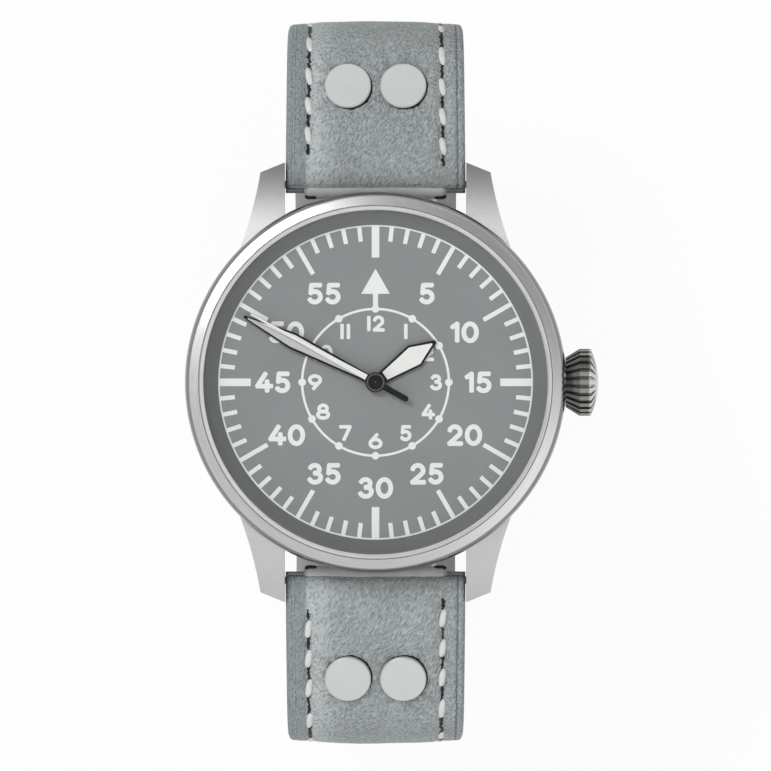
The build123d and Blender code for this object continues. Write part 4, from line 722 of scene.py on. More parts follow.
def bar_loop(name, route, sizes, loop):
    """Narrow loop of leather round the spring bar, between the strap's end and the case."""
    centre, back, out = bar_axes(route)
    sides, steps = 28, 30
    pinch = sizes.edge_radius / 2
    points, values = [], []
    for index in range(steps + 1):
        x = loop.half * (2 * index / steps - 1)
        edge = loop.half - abs(x)
        for side in range(sides):
            angle = 2 * pi * side / sides
            wave = noise.noise(Vector((x / loop.patch, cos(angle), sin(angle))))
            radius = loop.radius - rounding(edge, pinch) - loop.unevenness * wave
            points.append(centre + Vector((x, 0, 0)) + back * radius * cos(angle)
                          + out * radius * sin(angle))
            # painted shade at the loop's pinched ends
            values.append(0.3 * max(0.0, 1 - edge / pinch))
    faces = closed_tube(steps + 1, sides)
    made = add_mesh(name, points, flipped(faces) if route.facing < 0 else faces)
    add_values(made, "painted_shade", values)
    apply_cut(made, [round_cutter(sizes.bore_radius, 2 * sizes.root_half, centre, (1, 0, 0))])
    return made


def loop_ends(name, route, loop):
    """Dark pieces at both ends of the folded loop, which stand in for the shadow between the loop and
    the case.
    """
    centre, back, out = bar_axes(route)
    points, faces = [], []
    rings, sides = 9, 12
    least = 0.02
    for sign in (-1, 1):
        first = len(points)
        for ring in range(rings):
            part = 2 * ring / (rings - 1) - 1
            full = sqrt(max(least, 1 - part ** 4))
            x = sign * (loop.half - loop.raw_inset) + part * loop.raw_half
            for side in range(sides):
                angle = 2 * pi * side / sides
                inward = loop.radius - loop.raw_depth + loop.raw_thick * full * cos(angle)
                upward = loop.raw_rise + loop.raw_tall * full * sin(angle)
                points.append(centre + Vector((x, 0, 0)) + back * inward + out * upward)
        faces += closed_tube(rings, sides, first)
    return add_mesh(name, points, faces)


def thread(points, faces, route, x, along, stitches, height_of, seed):
    """One stitch: a short twisted cord that tapers and dives into the leather at both ends."""
    rings, sides = 15, 12
    taper, thinnest, flatness, plies_turn = 1.5, 0.12, 0.9, 5.2
    first = len(points)
    lean = -tan(stitches.lean) + stitches.waver * noise.noise(Vector((seed * 1.7, 2.0, 0.0)))
    for ring in range(rings):
        part = 2 * ring / (rings - 1) - 1
        swell = max(thinnest, sqrt(max(0.0, 1 - abs(part) ** taper)))
        run = part * stitches.length / 2
        lift = stitches.proud - stitches.dive * part ** 6 - stitches.bend_sink * (
            1 - relief_share(along))
        for side in range(sides):
            angle = 2 * pi * side / sides
            ply = 1 - stitches.twist * (0.5 + 0.5 * cos(2 * angle + plies_turn * part))
            radius = stitches.radius * swell * ply
            height = height_of(along + run) + lift + radius * flatness * sin(angle)
            points.append(route.place(x + lean * run + radius * cos(angle), along + run, height))
    faces += closed_tube(rings, sides, first)


def seam_threads(name, route, scene):
    """All stitches of one half, on the leather and on the lining."""
    sizes, stitches = scene.strap_sizes, scene.stitch_sizes
    lining_seed = 500
    points, faces = [], []
    seed = 0
    for sign in (-1, 1):
        for along in seam_places(route, stitches, sign):
            x = sign * (route.half_width(along, sizes) - stitches.inset)
            sunk = top_relief(route, x, along, scene)[0]
            seed += 1

            def over(position):
                """Height of the channel in the upper leather."""
                return route.thickness(position) / 2 + sunk

            def under(position):
                """Height of the mark in the lining."""
                return stitches.lining_sink - route.thickness(position) / 2

            thread(points, faces, route, x, along, stitches, over, seed)
            if route.long or along <= route.length - sizes.slot_length - stitches.pitch:
                thread(points, faces, route, x, along, stitches, under, seed + lining_seed)
    return add_mesh(name, points, faces)


def keeper_section(half, keeper):
    """Places across a keeper's wall, their depth and their painted shade."""
    rounds, top_steps = 5, 24
    # painted shade on the rounded edges and in the pressed lines
    edge_shade, line_shade = 0.35, 0.7
    edge, wall = keeper.wall * keeper.edge, keeper.wall
    section = []
    for across, depth, start in ((half - edge, -edge, 0), (-half + edge, -edge, 90),
                                 (-half + edge, -wall + edge, 180), (half - edge, -wall + edge, 270)):
        for step in range(rounds):
            angle = radians(start + 90 * step / (rounds - 1))
            section.append((across + edge * cos(angle), depth + edge * sin(angle), edge_shade))
        if start == 0:
            for index in range(1, top_steps):
                y = (half - edge) * (1 - 2 * index / top_steps)
                line = bell(abs(y) - half + keeper.groove_inset, keeper.groove_spread)
                section.append((y, -keeper.groove * line, line_shade * line))
    return section


def keeper_loop(name, node, keeper):
    """Keeper swept round its loop, with crowned walls, pressed lines and rounded edges."""
    low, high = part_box(node)
    middle, half = (low + high) / 2, (high - low) / 2
    corner, steps = keeper.corner, 8
    path = [((sign_x * (half.x - corner), sign_z * (half.z - corner)), pi / 2 * (quarter + step / steps))
            for quarter, (sign_x, sign_z) in enumerate(((1, 1), (-1, 1), (-1, -1), (1, -1)))
            for step in range(steps + 1)]
    section = keeper_section(half.y, keeper)
    points, values = [], []
    for centre, angle in path:
        for y, depth, painted_shade in section:
            wave = noise.noise(Vector((centre[0] / MM + cos(angle) * 3, y / MM, angle)))
            reach = corner + depth + keeper.wave * wave
            points.append(Vector((middle.x + centre[0] + reach * cos(angle), middle.y + y,
                                  middle.z + centre[1] + reach * sin(angle))))
            values.append(painted_shade)
    size = len(section)
    faces = flipped(tube_faces(len(path), size))
    last = (len(path) - 1) * size
    for index in range(size):
        after = (index + 1) % size
        faces.append((last + index, index, after, last + after))
    made = add_mesh(name, points, faces)
    add_values(made, "painted_shade", values)
    return made


# Figures

def bow(x, y, wide, tall, start, end, steps=14):
    """Points along a part of an ellipse, angles in degrees."""
    return [(x + wide * cos(radians(start + (end - start) * step / steps)),
             y + tall * sin(radians(start + (end - start) * step / steps))) for step in range(steps + 1)]


# Width and strokes of each figure, as shares of its height
FIGURES = {
    "0": (0.8, [bow(0.4, 0.5, 0.3, 0.4, 0, 360, 36)]),
    "1": (0.42, [[(0.08, 0.74), (0.31, 0.9), (0.31, 0.1)]]),
    "2": (0.74, [bow(0.36, 0.65, 0.25, 0.25, 165, -30) + [(0.1, 0.1), (0.66, 0.1)]]),
    "3": (0.74, [bow(0.35, 0.71, 0.22, 0.19, 160, -90), bow(0.36, 0.32, 0.27, 0.22, 90, -160)]),
    "4": (0.84, [[(0.5, 0.9), (0.12, 0.32), (0.78, 0.32)], [(0.58, 0.55), (0.58, 0.1)]]),
    "5": (0.74, [[(0.61, 0.9), (0.2, 0.9), (0.16, 0.53)] + bow(0.35, 0.35, 0.27, 0.25, 125, -150)]),
    "6": (0.9, [bow(0.45, 0.35, 0.33, 0.25, 150, 510, 36), [(0.14, 0.45), (0.54, 0.9)]]),
    "7": (0.8, [[(0.1, 0.9), (0.7, 0.9), (0.32, 0.1)]]),
    "8": (0.88, [bow(0.44, 0.7, 0.25, 0.2, 0, 360, 32), bow(0.44, 0.31, 0.33, 0.21, 0, 360, 36)]),
    "9": (0.9, [bow(0.45, 0.65, 0.33, 0.25, -30, 330, 36), [(0.76, 0.55), (0.36, 0.1)]]),
    "I": (0.3, [[(0.15, 0.9), (0.15, 0.1)]]),
}


def strokes(line):
    """Cuts a line at its sharp corners, so that each stroke lies flat on the next."""
    sharp = radians(50)
    places = [Vector(place) for place in line]
    parts, part = [], [places[0]]
    for before, place, after in zip(places, places[1:], places[2:]):
        part.append(place)
        if (place - before).angle(after - place) > sharp:
            parts.append(part)
            part = [place]
    return parts + [part + [places[-1]]]


def stroke_sides(line, half, closed):
    """Points along the left and the right side of a stroke."""
    least = 0.5
    left, right = [], []
    for index, place in enumerate(line):
        before = line[index - 1] if index else (line[-2] if closed else place)
        after = line[index + 1] if index < len(line) - 1 else (line[1] if closed else place)
        ahead = (place - before).normalized() + (after - place).normalized()
        ahead.normalize()
        side = Vector((-ahead.y, ahead.x))
        step = (after - place if index < len(line) - 1 else place - before).normalized()
        stretch = 1 / max(least, side.dot(Vector((-step.y, step.x))))
        left.append(place + side * half * stretch)
        right.append(place - side * half * stretch)
    return left, right


def stroke_cap(tip, inward, half):
    """Points round the blunt end of a stroke."""
    steps, reach = 8, 0.8
    ahead = (tip - inward).normalized()
    side = Vector((-ahead.y, ahead.x))
    return [tip + (side * cos(pi * step / steps) + ahead * sin(pi * step / steps) ** 0.5 * reach) * half
            for step in range(1, steps)]


def ribbon(points, faces, line, half, height, low, high):
    """Flat stroke with round ends along a line, scaled by a height."""
    line = [Vector(place) for place in line]
    closed = (line[0] - line[-1]).length < 1e-6
    left, right = stroke_sides(line, half, closed)
    caps = [[], []]
    if not closed:
        caps = [stroke_cap(line[-1], line[-2], half), stroke_cap(line[0], line[1], half)]
    outline = left + caps[0] + list(reversed(right)) + caps[1]
    first, size, count = len(points), len(outline), len(line)
    points += [Vector((place.x * height, place.y * height, z)) for z in (low, high)
               for place in outline]
    right_at = size - 1 - len(caps[1])
    for base, under in ((first, True), (first + size, False)):
        for index in range(count - 1):
            quad = (base + index, base + right_at - index, base + right_at - index - 1, base + index + 1)
            faces.append(tuple(reversed(quad)) if under else quad)
        if not closed:
            end = [base + count - 1 + step for step in range(len(caps[0]) + 2)]
            start = [base + right_at + step for step in range(len(caps[1]) + 1)] + [base]
            for fan in (end, start):
                faces.append(tuple(fan) if under else tuple(reversed(fan)))
    for index in range(size):
        after = (index + 1) % size
        faces.append((first + index, first + size + index, first + size + after, first + after))


def figures(points, faces, word, centre, height, sizes, low):
    """Writes a number with its middle on a point of the dial, each stroke a little over the last."""
    layer_rise = 0.05
    widths = [FIGURES[mark][0] for mark in word]
    x = -(sum(widths) + sizes.spacing * (len(word) - 1)) / 2
    for mark, width in zip(word, widths):
        cut = [part for line in FIGURES[mark][1] for part in strokes(line)]
        for layer, line in enumerate(cut, start=1):
            first = len(points)
            ribbon(points, faces, [(x + px, py - 0.5) for px, py in line], sizes.weight / 2, height,
                   low, low + sizes.thickness * (1 + layer_rise * layer))
            for point in points[first:]:
                point.x += centre[0]
                point.y += centre[1]
        x += width + sizes.spacing


def ring_of_figures(name, words, reach_x, reach_y, height, sizes, low, drop=0.0):
    """Numbers spread evenly round the dial, starting at 12 o'clock."""
    points, faces = [], []
    for index, word in enumerate(words):
        if word is None:
            continue
        angle = 2 * pi * index / len(words)
        rise = reach_y * cos(angle) * (1 - drop * max(0.0, cos(angle)) * sin(angle) ** 2)
        figures(points, faces, word, (reach_x * sin(angle), rise), height, sizes, low)
    return add_mesh(name, points, faces, smooth=False)


# Materials

class Wire:
    """Socket of a shader node that can be used in sums."""

    def __init__(self, tree, socket):
        self.tree, self.socket = tree, socket

    def math(self, operation, *values):
        """Result of a Math node on some values."""
        node = self.tree.nodes.new("ShaderNodeMath")
        node.operation = operation
        for socket, value in zip(node.inputs, values):
            feed(self.tree, socket, value)
        return Wire(self.tree, node.outputs[0])

    def __add__(self, other):
        return self.math("ADD", self, other)

    def __sub__(self, other):
        return self.math("SUBTRACT", self, other)

    def __rsub__(self, other):
        return self.math("SUBTRACT", other, self)

    def __mul__(self, other):
        return self.math("MULTIPLY", self, other)

    def __pow__(self, other):
        return self.math("POWER", self, other)


def feed(tree, socket, value):
    """Links a wire to a socket, or sets the socket's value."""
    if isinstance(value, Wire):
        tree.links.new(value.socket, socket)
    elif socket.type == "RGBA" and len(value) == 3:
        socket.default_value = (*value, 1.0)
    else:
        socket.default_value = value


class Finish:
    """Material under construction: makes nodes and feeds its shader."""

    def __init__(self, name, **constants):
        self.material = bpy.data.materials.new(name)
        self.material.use_nodes = True
        self.tree = self.material.node_tree
        self.shader = self.tree.nodes["Principled BSDF"]
        self.place = self.node("TexCoord", out="Object")
        for socket, value in constants.items():
            self.set(socket.replace("_", " "), value)

    def node(self, kind, settings=None, out=0, **values):
        """Output of a new node, whose sockets are named by words or, as in i0, by their number."""
        made = self.tree.nodes.new("ShaderNode" + kind)
        for setting, value in (settings or {}).items():
            setattr(made, setting, value)
        for socket, value in values.items():
            key = int(socket[1:]) if socket[1:].isdigit() else socket.replace("_", " ")
            feed(self.tree, made.inputs[key], value)
        return Wire(self.tree, made.outputs[out])

    def set(self, socket, value):
        """Feeds a socket of the shader."""
        feed(self.tree, self.shader.inputs[socket], value)

    def noise(self, size, vector=None, detail=3.0, rough=0.55):
        """Cloudy pattern from 0 to 1 whose patches are of a size in metres."""
        return self.node("TexNoise", Vector=vector or self.place, Scale=1 / size, Detail=detail,
                         Roughness=rough)

    def stretched(self, x, y, z):
        """Coordinates pulled out along an axis, for grain and brush lines."""
        return self.node("VectorMath", {"operation": "MULTIPLY"}, i0=self.place, i1=(x, y, z))

    def blend(self, factor, first, second):
        """Mix of two colours."""
        return self.node("Mix", {"data_type": "RGBA"}, out=2, i0=factor, i6=first, i7=second)

    def mottled(self, pattern, low, high, base, dark, light):
        """Base colour, darker where a pattern is low and lighter where it is high."""
        return self.blend(self.step(pattern, low, high), shade(base, dark), shade(base, light))

    def step(self, value, low, high):
        """Smooth step from 0 to 1 while a value goes from low to high."""
        return self.node("MapRange", {"interpolation_type": "SMOOTHSTEP"}, Value=value, From_Min=low,
                         From_Max=high)

    def past(self, value, place, blur):
        """0 before a place and 1 past it, with a soft border."""
        return self.step(value, place - blur, place + blur)

    def before(self, value, place, blur):
        """1 before a place and 0 past it, with a soft border."""
        return self.step(value, place + blur, place - blur)

    def near(self, distance, low, high):
        """1 where a distance to either side is under high, and 0 where it is over low."""
        return self.step(distance.math("ABSOLUTE", distance), low, high)

    def stored(self, name):
        """Number that the mesh holds for each of its points."""
        return self.node("Attribute", {"attribute_name": name}, out="Fac")

    def parts(self):
        """X, Y and Z of the place on the surface."""
        made = self.tree.nodes.new("ShaderNodeSeparateXYZ")
        feed(self.tree, made.inputs[0], self.place)
        return [Wire(self.tree, made.outputs[index]) for index in range(3)]

    def radius(self):
        """Distance from the hands' axis."""
        x, y, _ = self.parts()
        return (x * x + y * y) ** 0.5

    def turned(self, pitch):
        """Coordinates along the lines that a lathe leaves round the hands' axis."""
        x, y, z = self.parts()
        return self.node("CombineXYZ", X=self.radius(), Y=z, Z=x.math("ARCTAN2", y, x) * pitch)

    def bump(self, height, distance):
        """Fine relief of the surface."""
        self.set("Normal", self.node("Bump", Height=height, Distance=distance, Strength=1.0))

    def scaled(self, value, base, spread):
        """Value from 0 to 1 turned to a span round a base."""
        return value * (2 * spread) + (base - spread)


def shade(base, factor):
    """Colour made lighter or darker."""
    return tuple(min(1.0, part * factor) for part in base)


def wrinkles(made, grain):
    """Pores, fine grain and slanted wrinkles, each from 0 to 1."""
    warp = made.node("TexNoise", out=1, Vector=made.place, Scale=1 / grain.warp_patch, Detail=2.0)
    warped = made.node("VectorMath", {"operation": "MULTIPLY_ADD"}, i0=warp, i1=(grain.warp,) * 3,
                       i2=made.place)
    cells = made.node("TexVoronoi", {"feature": "DISTANCE_TO_EDGE"}, Vector=warped,
                      Scale=1 / grain.pore)
    slanted = made.node("Mapping", {"vector_type": "TEXTURE"}, Vector=warped,
                        Rotation=(0.0, 0.0, grain.fold_lean), Scale=(1.0, grain.fold_stretch, 1.0))
    return (made.step(cells, 0.0, 0.22), made.noise(grain.fine, warped),
            made.noise(grain.fold, slanted, 1.5, 0.5))


def rivet_pits(made, x, along, sizes, grain):
    """Painted shadow that the rivets' heads cast on the leather, on one side of each head."""
    shadows = []
    for side in (-1, 1):
        across = x - (side * sizes.rivet_spacing / 2 + grain.rivet_pit)
        ahead = along - (sizes.rivet_reach - grain.rivet_pit / 3)
        away = (across * across + ahead * ahead) ** 0.5
        shadows.append(made.near(away, sizes.rivet_radius + grain.pit_outer,
                              sizes.rivet_radius - grain.pit_inner))
    return shadows[0] + shadows[1]


def upper_leather(name, scene, length=0.0):
    """Grained leather with wrinkles, with painted shade in its creases, along its seams and beside its
    rivets, and painted light on its left pad and left crease.
    """
    tones, sizes, relief = scene.finishes, scene.strap_sizes, scene.relief_sizes
    stitches, grain = scene.stitch_sizes, scene.grain_sizes
    base, dark = tones.leather, tones.leather_dark
    blur = grain.seam_inner
    made = Finish(name, Roughness=0.5, Specular_IOR_Level=0.35)
    pebble, fine, folds = wrinkles(made, grain)
    cloud = made.noise(grain.cloud, detail=4.0)
    painted_shade, along, edge = [made.stored(key) for key in ("painted_shade", "along", "edge")]
    x = made.parts()[0]
    jag = (made.noise(grain.jag_patch, detail=2.0) - 0.5) * grain.jag
    right = made.past(x, 0.0, blur)
    start = right * (stitches.right_start - stitches.left_start) + stitches.left_start
    # painted shade of the seam channel between the stitches
    seam = made.near(edge - stitches.inset + jag, grain.seam_outer, grain.seam_inner)
    seam = seam * made.past(along - start, -grain.seam_lead, blur)
    seam = seam * made.before(along, length - stitches.end_margin + blur, blur)
    sewn_left = (1 - right) * made.past(edge, blur / 10, blur / 10)
    # painted shade on the left margin, outside the left seam
    left_margin_shade = sewn_left * made.step(edge, stitches.inset, stitches.inset - 4 * blur)
    crease = made.near(edge - relief.crease_inset + jag * 0.3, grain.crease_outer, grain.crease_inner)
    crease = crease * made.step(along, length - 3 * blur, length - 6 * blur)
    # painted shade in the seam line and painted shadows beside the rivets
    seam_and_rivet_shade = seam + rivet_pits(made, x, along, sizes, grain)
    body = made.mottled(cloud, 0.3, 0.7, base, 0.94, 1.06)
    # painted highlight on the left pad, inside the left seam
    left_pad_highlight = sewn_left * made.step(x, -grain.pale_start, -grain.pale_full)
    body = made.blend(left_pad_highlight * 0.8, body, shade(base, 1.6))
    body = made.blend((1 - pebble) * 0.12, body, dark)
    # painted highlights on the wrinkles' ridges and painted shade in their troughs
    body = made.blend(made.step(folds, 0.55, 0.62) * 0.48, body, shade(base, 1.5))
    body = made.blend(made.step(folds, 0.45, 0.38) * 0.48, body, dark)
    body = made.blend(left_margin_shade * 0.6, body, dark)
    # painted shade in creases, seams, rivet creases and on the end at the bar; on the rounded edges
    # partly real edge paint
    body = made.blend(painted_shade * 0.7, body, tones.leather_edge)
    # painted shade on the right pressed line and a painted highlight on the left one
    body = made.blend(crease * right * 0.6, body, shade(dark, 0.6))
    body = made.blend(crease * (1 - right) * 0.5, body, shade(base, 1.4))
    body = made.blend(seam_and_rivet_shade.math("MINIMUM", seam_and_rivet_shade, 1.0), body, tones.leather_gap)
    made.set("Base Color", body)
    made.set("Roughness", made.scaled(fine, 0.5, 0.1))
    made.bump(pebble * 0.12 + fine * 0.1 + folds * 1.2 - seam * 0.5 - crease * 0.3, grain.relief)
    return made.material


def lining_leather(name, base):
    """Smooth lining with faint pores and handling marks, and painted shade where its mesh holds it."""
    pore, grain, patch = 0.3 * MM, 0.15 * MM, 5 * MM
    made = Finish(name, Specular_IOR_Level=0.35)
    pores = made.node("TexVoronoi", Vector=made.place, Scale=1 / pore)
    cloud = made.noise(patch, detail=5.0)
    body = made.mottled(cloud, 0.35, 0.7, base, 0.88, 1.08)
    made.set("Base Color", made.blend(made.stored("painted_shade") * 0.6, body, shade(base, 0.55)))
    made.set("Roughness", made.scaled(cloud, 0.58, 0.1))
    made.bump(made.step(pores, 0.0, 0.25) * 0.4 + made.noise(grain) * 0.4, 0.05 * MM)
    return made.material


def waxed_thread(name, base):
    """Twisted thread with fine fibres."""
    fibre, patch = 0.07 * MM, 1.5 * MM
    made = Finish(name, Specular_IOR_Level=0.4)
    fibres = made.noise(fibre, made.stretched(3.0, 1.0, 1.0))
    made.set("Base Color", made.mottled(fibres, 0.3, 0.7, base, 0.78, 1.1))
    made.set("Roughness", made.scaled(made.noise(patch), 0.6, 0.08))
    made.bump(fibres, 0.04 * MM)
    return made.material


def straight_brushed(name, base, rough, along=(1.0, 0.06, 1.0)):
    """Satin steel with straight brush lines."""
    line, patch, depth = 0.07 * MM, 4 * MM, 0.006 * MM
    made = Finish(name, Metallic=1.0)
    lines = made.noise(line, made.stretched(*along), 4.0, 0.65)
    cloud = made.noise(patch, made.stretched(1.0, 0.5, 1.0))
    tone = made.mottled(lines, 0.25, 0.75, base, 0.9, 1.07)
    made.set("Base Color", made.blend(made.step(cloud, 0.3, 0.75) * 0.25, tone, shade(base, 0.85)))
    made.set("Roughness", made.scaled(lines, rough, 0.09))
    made.bump(lines, depth)
    return made.material


def ring_brushed(name, base, rough, metallic=1.0):
    """Metal or paint with lines from a lathe round the hands' axis."""
    line, pitch, patch, depth = 0.06 * MM, 0.35 * MM, 3.5 * MM, 0.01 * MM
    made = Finish(name, Metallic=metallic)
    lines = made.noise(line, made.turned(pitch), 5.0, 0.7)
    cloud = made.noise(patch)
    tone = made.mottled(lines, 0.25, 0.75, base, 0.82, 1.08)
    made.set("Base Color", made.blend(made.step(cloud, 0.35, 0.75) * 0.3, tone, shade(base, 0.84)))
    made.set("Roughness", made.scaled(lines, rough, 0.12))
    made.bump(lines, depth)
    return made.material


def polished(name, base, rough=0.16):
    """Polished metal with faint handling marks."""
    mark, patch, depth = 0.5 * MM, 2 * MM, 0.002 * MM
    made = Finish(name, Metallic=1.0)
    marks = made.noise(mark, made.stretched(1.0, 0.3, 0.6), 5.0, 0.7)
    made.set("Base Color", made.mottled(made.noise(patch), 0.3, 0.8, base, 1.04, 0.88))
    made.set("Roughness", made.scaled(marks, rough, 0.06))
    made.bump(marks, depth)
    return made.material


def bezel_steel(name, base, borders):
    """Polished flank below, darkened as a painted dark reflection, circular brushed top above its
    shoulder.
    """
    line, speck, pitch, blur, depth = 0.09 * MM, 0.35 * MM, 0.5 * MM, 0.04 * MM, 0.012 * MM
    made = Finish(name, Metallic=1.0)
    radius = made.radius()
    lines = made.noise(line, made.turned(pitch), 5.0, 0.7)
    specks = made.noise(speck, None, 4.0, 0.7)
    top = made.past(radius, borders.top_inner, blur)
    top = top * made.before(radius, borders.top_outer, 1.75 * blur)
    flank_reflection = made.past(radius, borders.flank_inner, blur)
    flank_reflection = flank_reflection * made.before(radius, borders.flank_outer, blur)
    tone = made.mottled(lines, 0.25, 0.75, base, 0.86, 1.06)
    # painted dark reflection on the polished flank
    bare = made.blend(flank_reflection, shade(base, 1.0), shade(base, 0.38))
    made.set("Base Color", made.blend(top, bare, tone))
    made.set("Roughness", top * (made.scaled(lines, 0.36, 0.1) + made.scaled(specks, 0.0, 0.04))
             + (1 - top) * 0.12)
    made.bump(lines * top + specks * top * 0.3, depth)
    return made.material


def fluted_steel(name, base, height, borders):
    """Polished crown whose flutes, spread evenly round a level axis, have painted shade at their bottom,
    on a cone darkened as painted shade, with a painted highlight on its domed end.
    """
    mark, end_blur, flute_blur, depth = 0.5 * MM, 0.125 * MM, 0.2 * MM, 0.003 * MM
    made = Finish(name, Metallic=1.0)
    x, y, z = made.parts()
    z = z - height
    turned = y.math("ARCTAN2", y, z * -1.0) * borders.flute_count
    flute_shade = made.step(turned.math("COSINE", turned), -0.05, 0.3)
    flute_shade = flute_shade * made.past((y * y + z * z) ** 0.5, borders.flute_start, flute_blur)
    end = made.past(x, borders.crown_end, end_blur)
    marks = made.noise(mark, detail=5.0)
    # painted shade in the flutes and on the cone, painted highlight on the domed end
    shaded_cone = made.blend(flute_shade * 0.8, shade(base, 0.48), shade(base, 0.1))
    made.set("Base Color", made.blend(end, shaded_cone, shade(base, 1.1)))
    made.set("Roughness", made.scaled(marks, 0.4, 0.06))
    made.bump(marks, depth)
    return made.material


def painted(name, base, rough, grain=0.12, depth=0.004, spread=0.04, metallic=0.0, gloss=0.5):
    """Paint, plastic or rubber with a faint grain, whose size and depth are in millimetres."""
    patch = 3 * MM
    made = Finish(name, Metallic=metallic, Specular_IOR_Level=gloss)
    speckle = made.noise(grain * MM, detail=4.0)
    made.set("Base Color", made.mottled(made.noise(patch), 0.3, 0.7, base, 1 - spread, 1 + spread))
    made.set("Roughness", made.scaled(speckle, rough, 0.06))
    made.bump(speckle, depth * MM)
    return made.material


def dial_paint(name, base, rim, borders):
    """Matt dial paint, with painted shade of the flange ring past its rim radius."""
    grain, patch, blur, depth = 0.09 * MM, 9 * MM, 0.2 * MM, 0.005 * MM
    made = Finish(name, Specular_IOR_Level=0.3)
    speckle = made.noise(grain, detail=5.0)
    body = made.mottled(made.noise(patch, detail=2.0), 0.3, 0.7, base, 0.97, 1.03)
    # painted shade of the flange ring past the rim radius
    made.set("Base Color", made.blend(made.past(made.radius(), borders.dial_rim, blur), body, rim))
    made.set("Roughness", made.scaled(speckle, 0.62, 0.06))
    made.bump(speckle, depth)
    return made.material


def hand_heading(node):
    """Direction of a hand's tip, clockwise from 12 o'clock."""
    tip = max((point.co for point in frame["nodes"][node].data.vertices),
              key=lambda place: hypot(place.x, place.y))
    return atan2(tip.x, tip.y)


def ridged_lume(name, base, heading):
    """Filling of a roof-shaped hand: one side white, the other greyer as painted shade, with painted
    shade along its ridge.
    """
    grain, blur, ridge, depth = 0.08 * MM, 0.03 * MM, 0.1 * MM, 0.006 * MM
    made = Finish(name, Specular_IOR_Level=0.3)
    x, y, _ = made.parts()
    side = x * cos(heading) - y * sin(heading)
    speckle = made.noise(grain)
    # painted shade on one side of the roof and along its ridge
    body = made.blend(made.past(side, 0.0, blur), shade(base, 0.62), shade(base, 1.0))
    body = made.blend(made.near(side, ridge, ridge / 2) * 0.7, body, shade(base, 0.3))
    made.set("Base Color", made.blend(speckle * 0.1, body, shade(base, 0.8)))
    made.set("Roughness", made.scaled(speckle, 0.6, 0.06))
    made.bump(speckle, depth)
    return made.material


def seconds_paint(name, dark, light, heading, hub):
    """Black hub with painted highlights on its turned rings and centre, black tail, pale needle."""
    grain, depth = 0.1 * MM, 0.003 * MM
    ring_outer, ring_inner, dot_outer, dot_inner = 0.11 * MM, 0.05 * MM, 0.12 * MM, 0.06 * MM
    made = Finish(name, Specular_IOR_Level=0.2)
    x, y, _ = made.parts()
    ahead = x * sin(heading) + y * cos(heading)
    needle = made.step(ahead, hub * 1.02, hub * 1.08)
    radius = made.radius()
    # painted highlights on the hub's ring and centre
    rings = made.near(radius - hub * 0.82, ring_outer, ring_inner)
    rings = rings + made.near(radius, dot_outer, dot_inner)
    speckle = made.noise(grain)
    rings = made.blend(rings, dark, shade(light, 0.12))
    made.set("Base Color", made.blend(needle, rings, light))
    made.set("Roughness", made.scaled(speckle, 0.3, 0.05) + needle * 0.2)
    made.bump(speckle, depth)
    return made.material


def clear_crystal(name, tones, borders):
    """Coated sapphire: almost clear, with a faint painted sheen, a few dust marks and painted shade at
    its rim.
    """
    patch, blur = 2.5 * MM, 0.06 * MM
    made = Finish(name, IOR=1.5)
    marks = made.noise(patch, detail=4.0)
    edge = made.past(made.radius(), borders.crystal_edge, blur)
    # painted shade at the crystal's rim, and a painted sheen elsewhere
    made.set("Base Color", made.blend(edge, tones.glass_edge, tones.glass))
    made.set("Roughness", made.scaled(marks, 0.05, 0.02))
    made.set("Alpha", edge * 0.6 + made.scaled(marks, 0.025, 0.008))
    return made.material


def ruby(name, base):
    """Polished synthetic ruby."""
    patch = 0.4 * MM
    made = Finish(name, IOR=1.76)
    cloud = made.noise(patch)
    made.set("Base Color", made.blend(cloud, shade(base, 0.7), shade(base, 1.3)))
    made.set("Roughness", made.scaled(cloud, 0.08, 0.03))
    return made.material


def dress(material, *nodes):
    """Puts a material on CAD nodes."""
    for name in nodes:
        mesh = frame["nodes"][name].data
        mesh.materials.clear()
        mesh.materials.append(material)


def finish_piece(made, material, body, slot, *replaced):
    """Gives a new piece its material and body, and hides the solids it stands for. The slot is not used.
    """
    made.data.materials.clear()
    made.data.materials.append(material)
    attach(made, body)
    if replaced:
        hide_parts(*replaced)


# Operators

STRAP_HALVES = ((False, "strap_12"), (True, "strap_6"))


class WATCH_OT_strap_leather(bpy.types.Operator):
    """Build the padded leather of both strap halves, with the loops round the spring bars"""
    bl_idname = "watch.strap_leather"
    bl_label = "Strap leather"

    def execute(self, context):
        scene = context.scene
        sizes, loop_sizes, tones = scene.strap_sizes, scene.loop_sizes, scene.finishes
        # near-black pieces at the loops' ends stand in for shadow
        end_shadow = painted("loop_end_shadow", tones.leather_gap, 0.7, 0.1, 0.02)
        smooth = lining_leather("loop_leather", tones.loop)
        for long, body in STRAP_HALVES:
            route = Route(sizes, long)
            skin = upper_leather(body + "_grain", scene, route.length)
            made = leather_half(body + "_upper", route, scene)
            finish_piece(made, skin, body, "strap_leather", body + "_leather")
            loop = bar_loop(body + "_bar_loop", route, sizes, loop_sizes)
            finish_piece(loop, smooth, body, "strap_leather")
            ends = loop_ends(body + "_loop_ends", route, loop_sizes)
            finish_piece(ends, end_shadow, body, "strap_leather")
        return {"FINISHED"}


class WATCH_OT_strap_lining(bpy.types.Operator):
    """Build the lining of both strap halves"""
    bl_idname = "watch.strap_lining"
    bl_label = "Strap lining"

    def execute(self, context):
        scene = context.scene
        skin = lining_leather("lining_leather", scene.finishes.lining)
        for long, body in STRAP_HALVES:
            made = lining_half(body + "_under", Route(scene.strap_sizes, long), scene)
            finish_piece(made, skin, body, "lining_leather", body + "_lining")
        return {"FINISHED"}


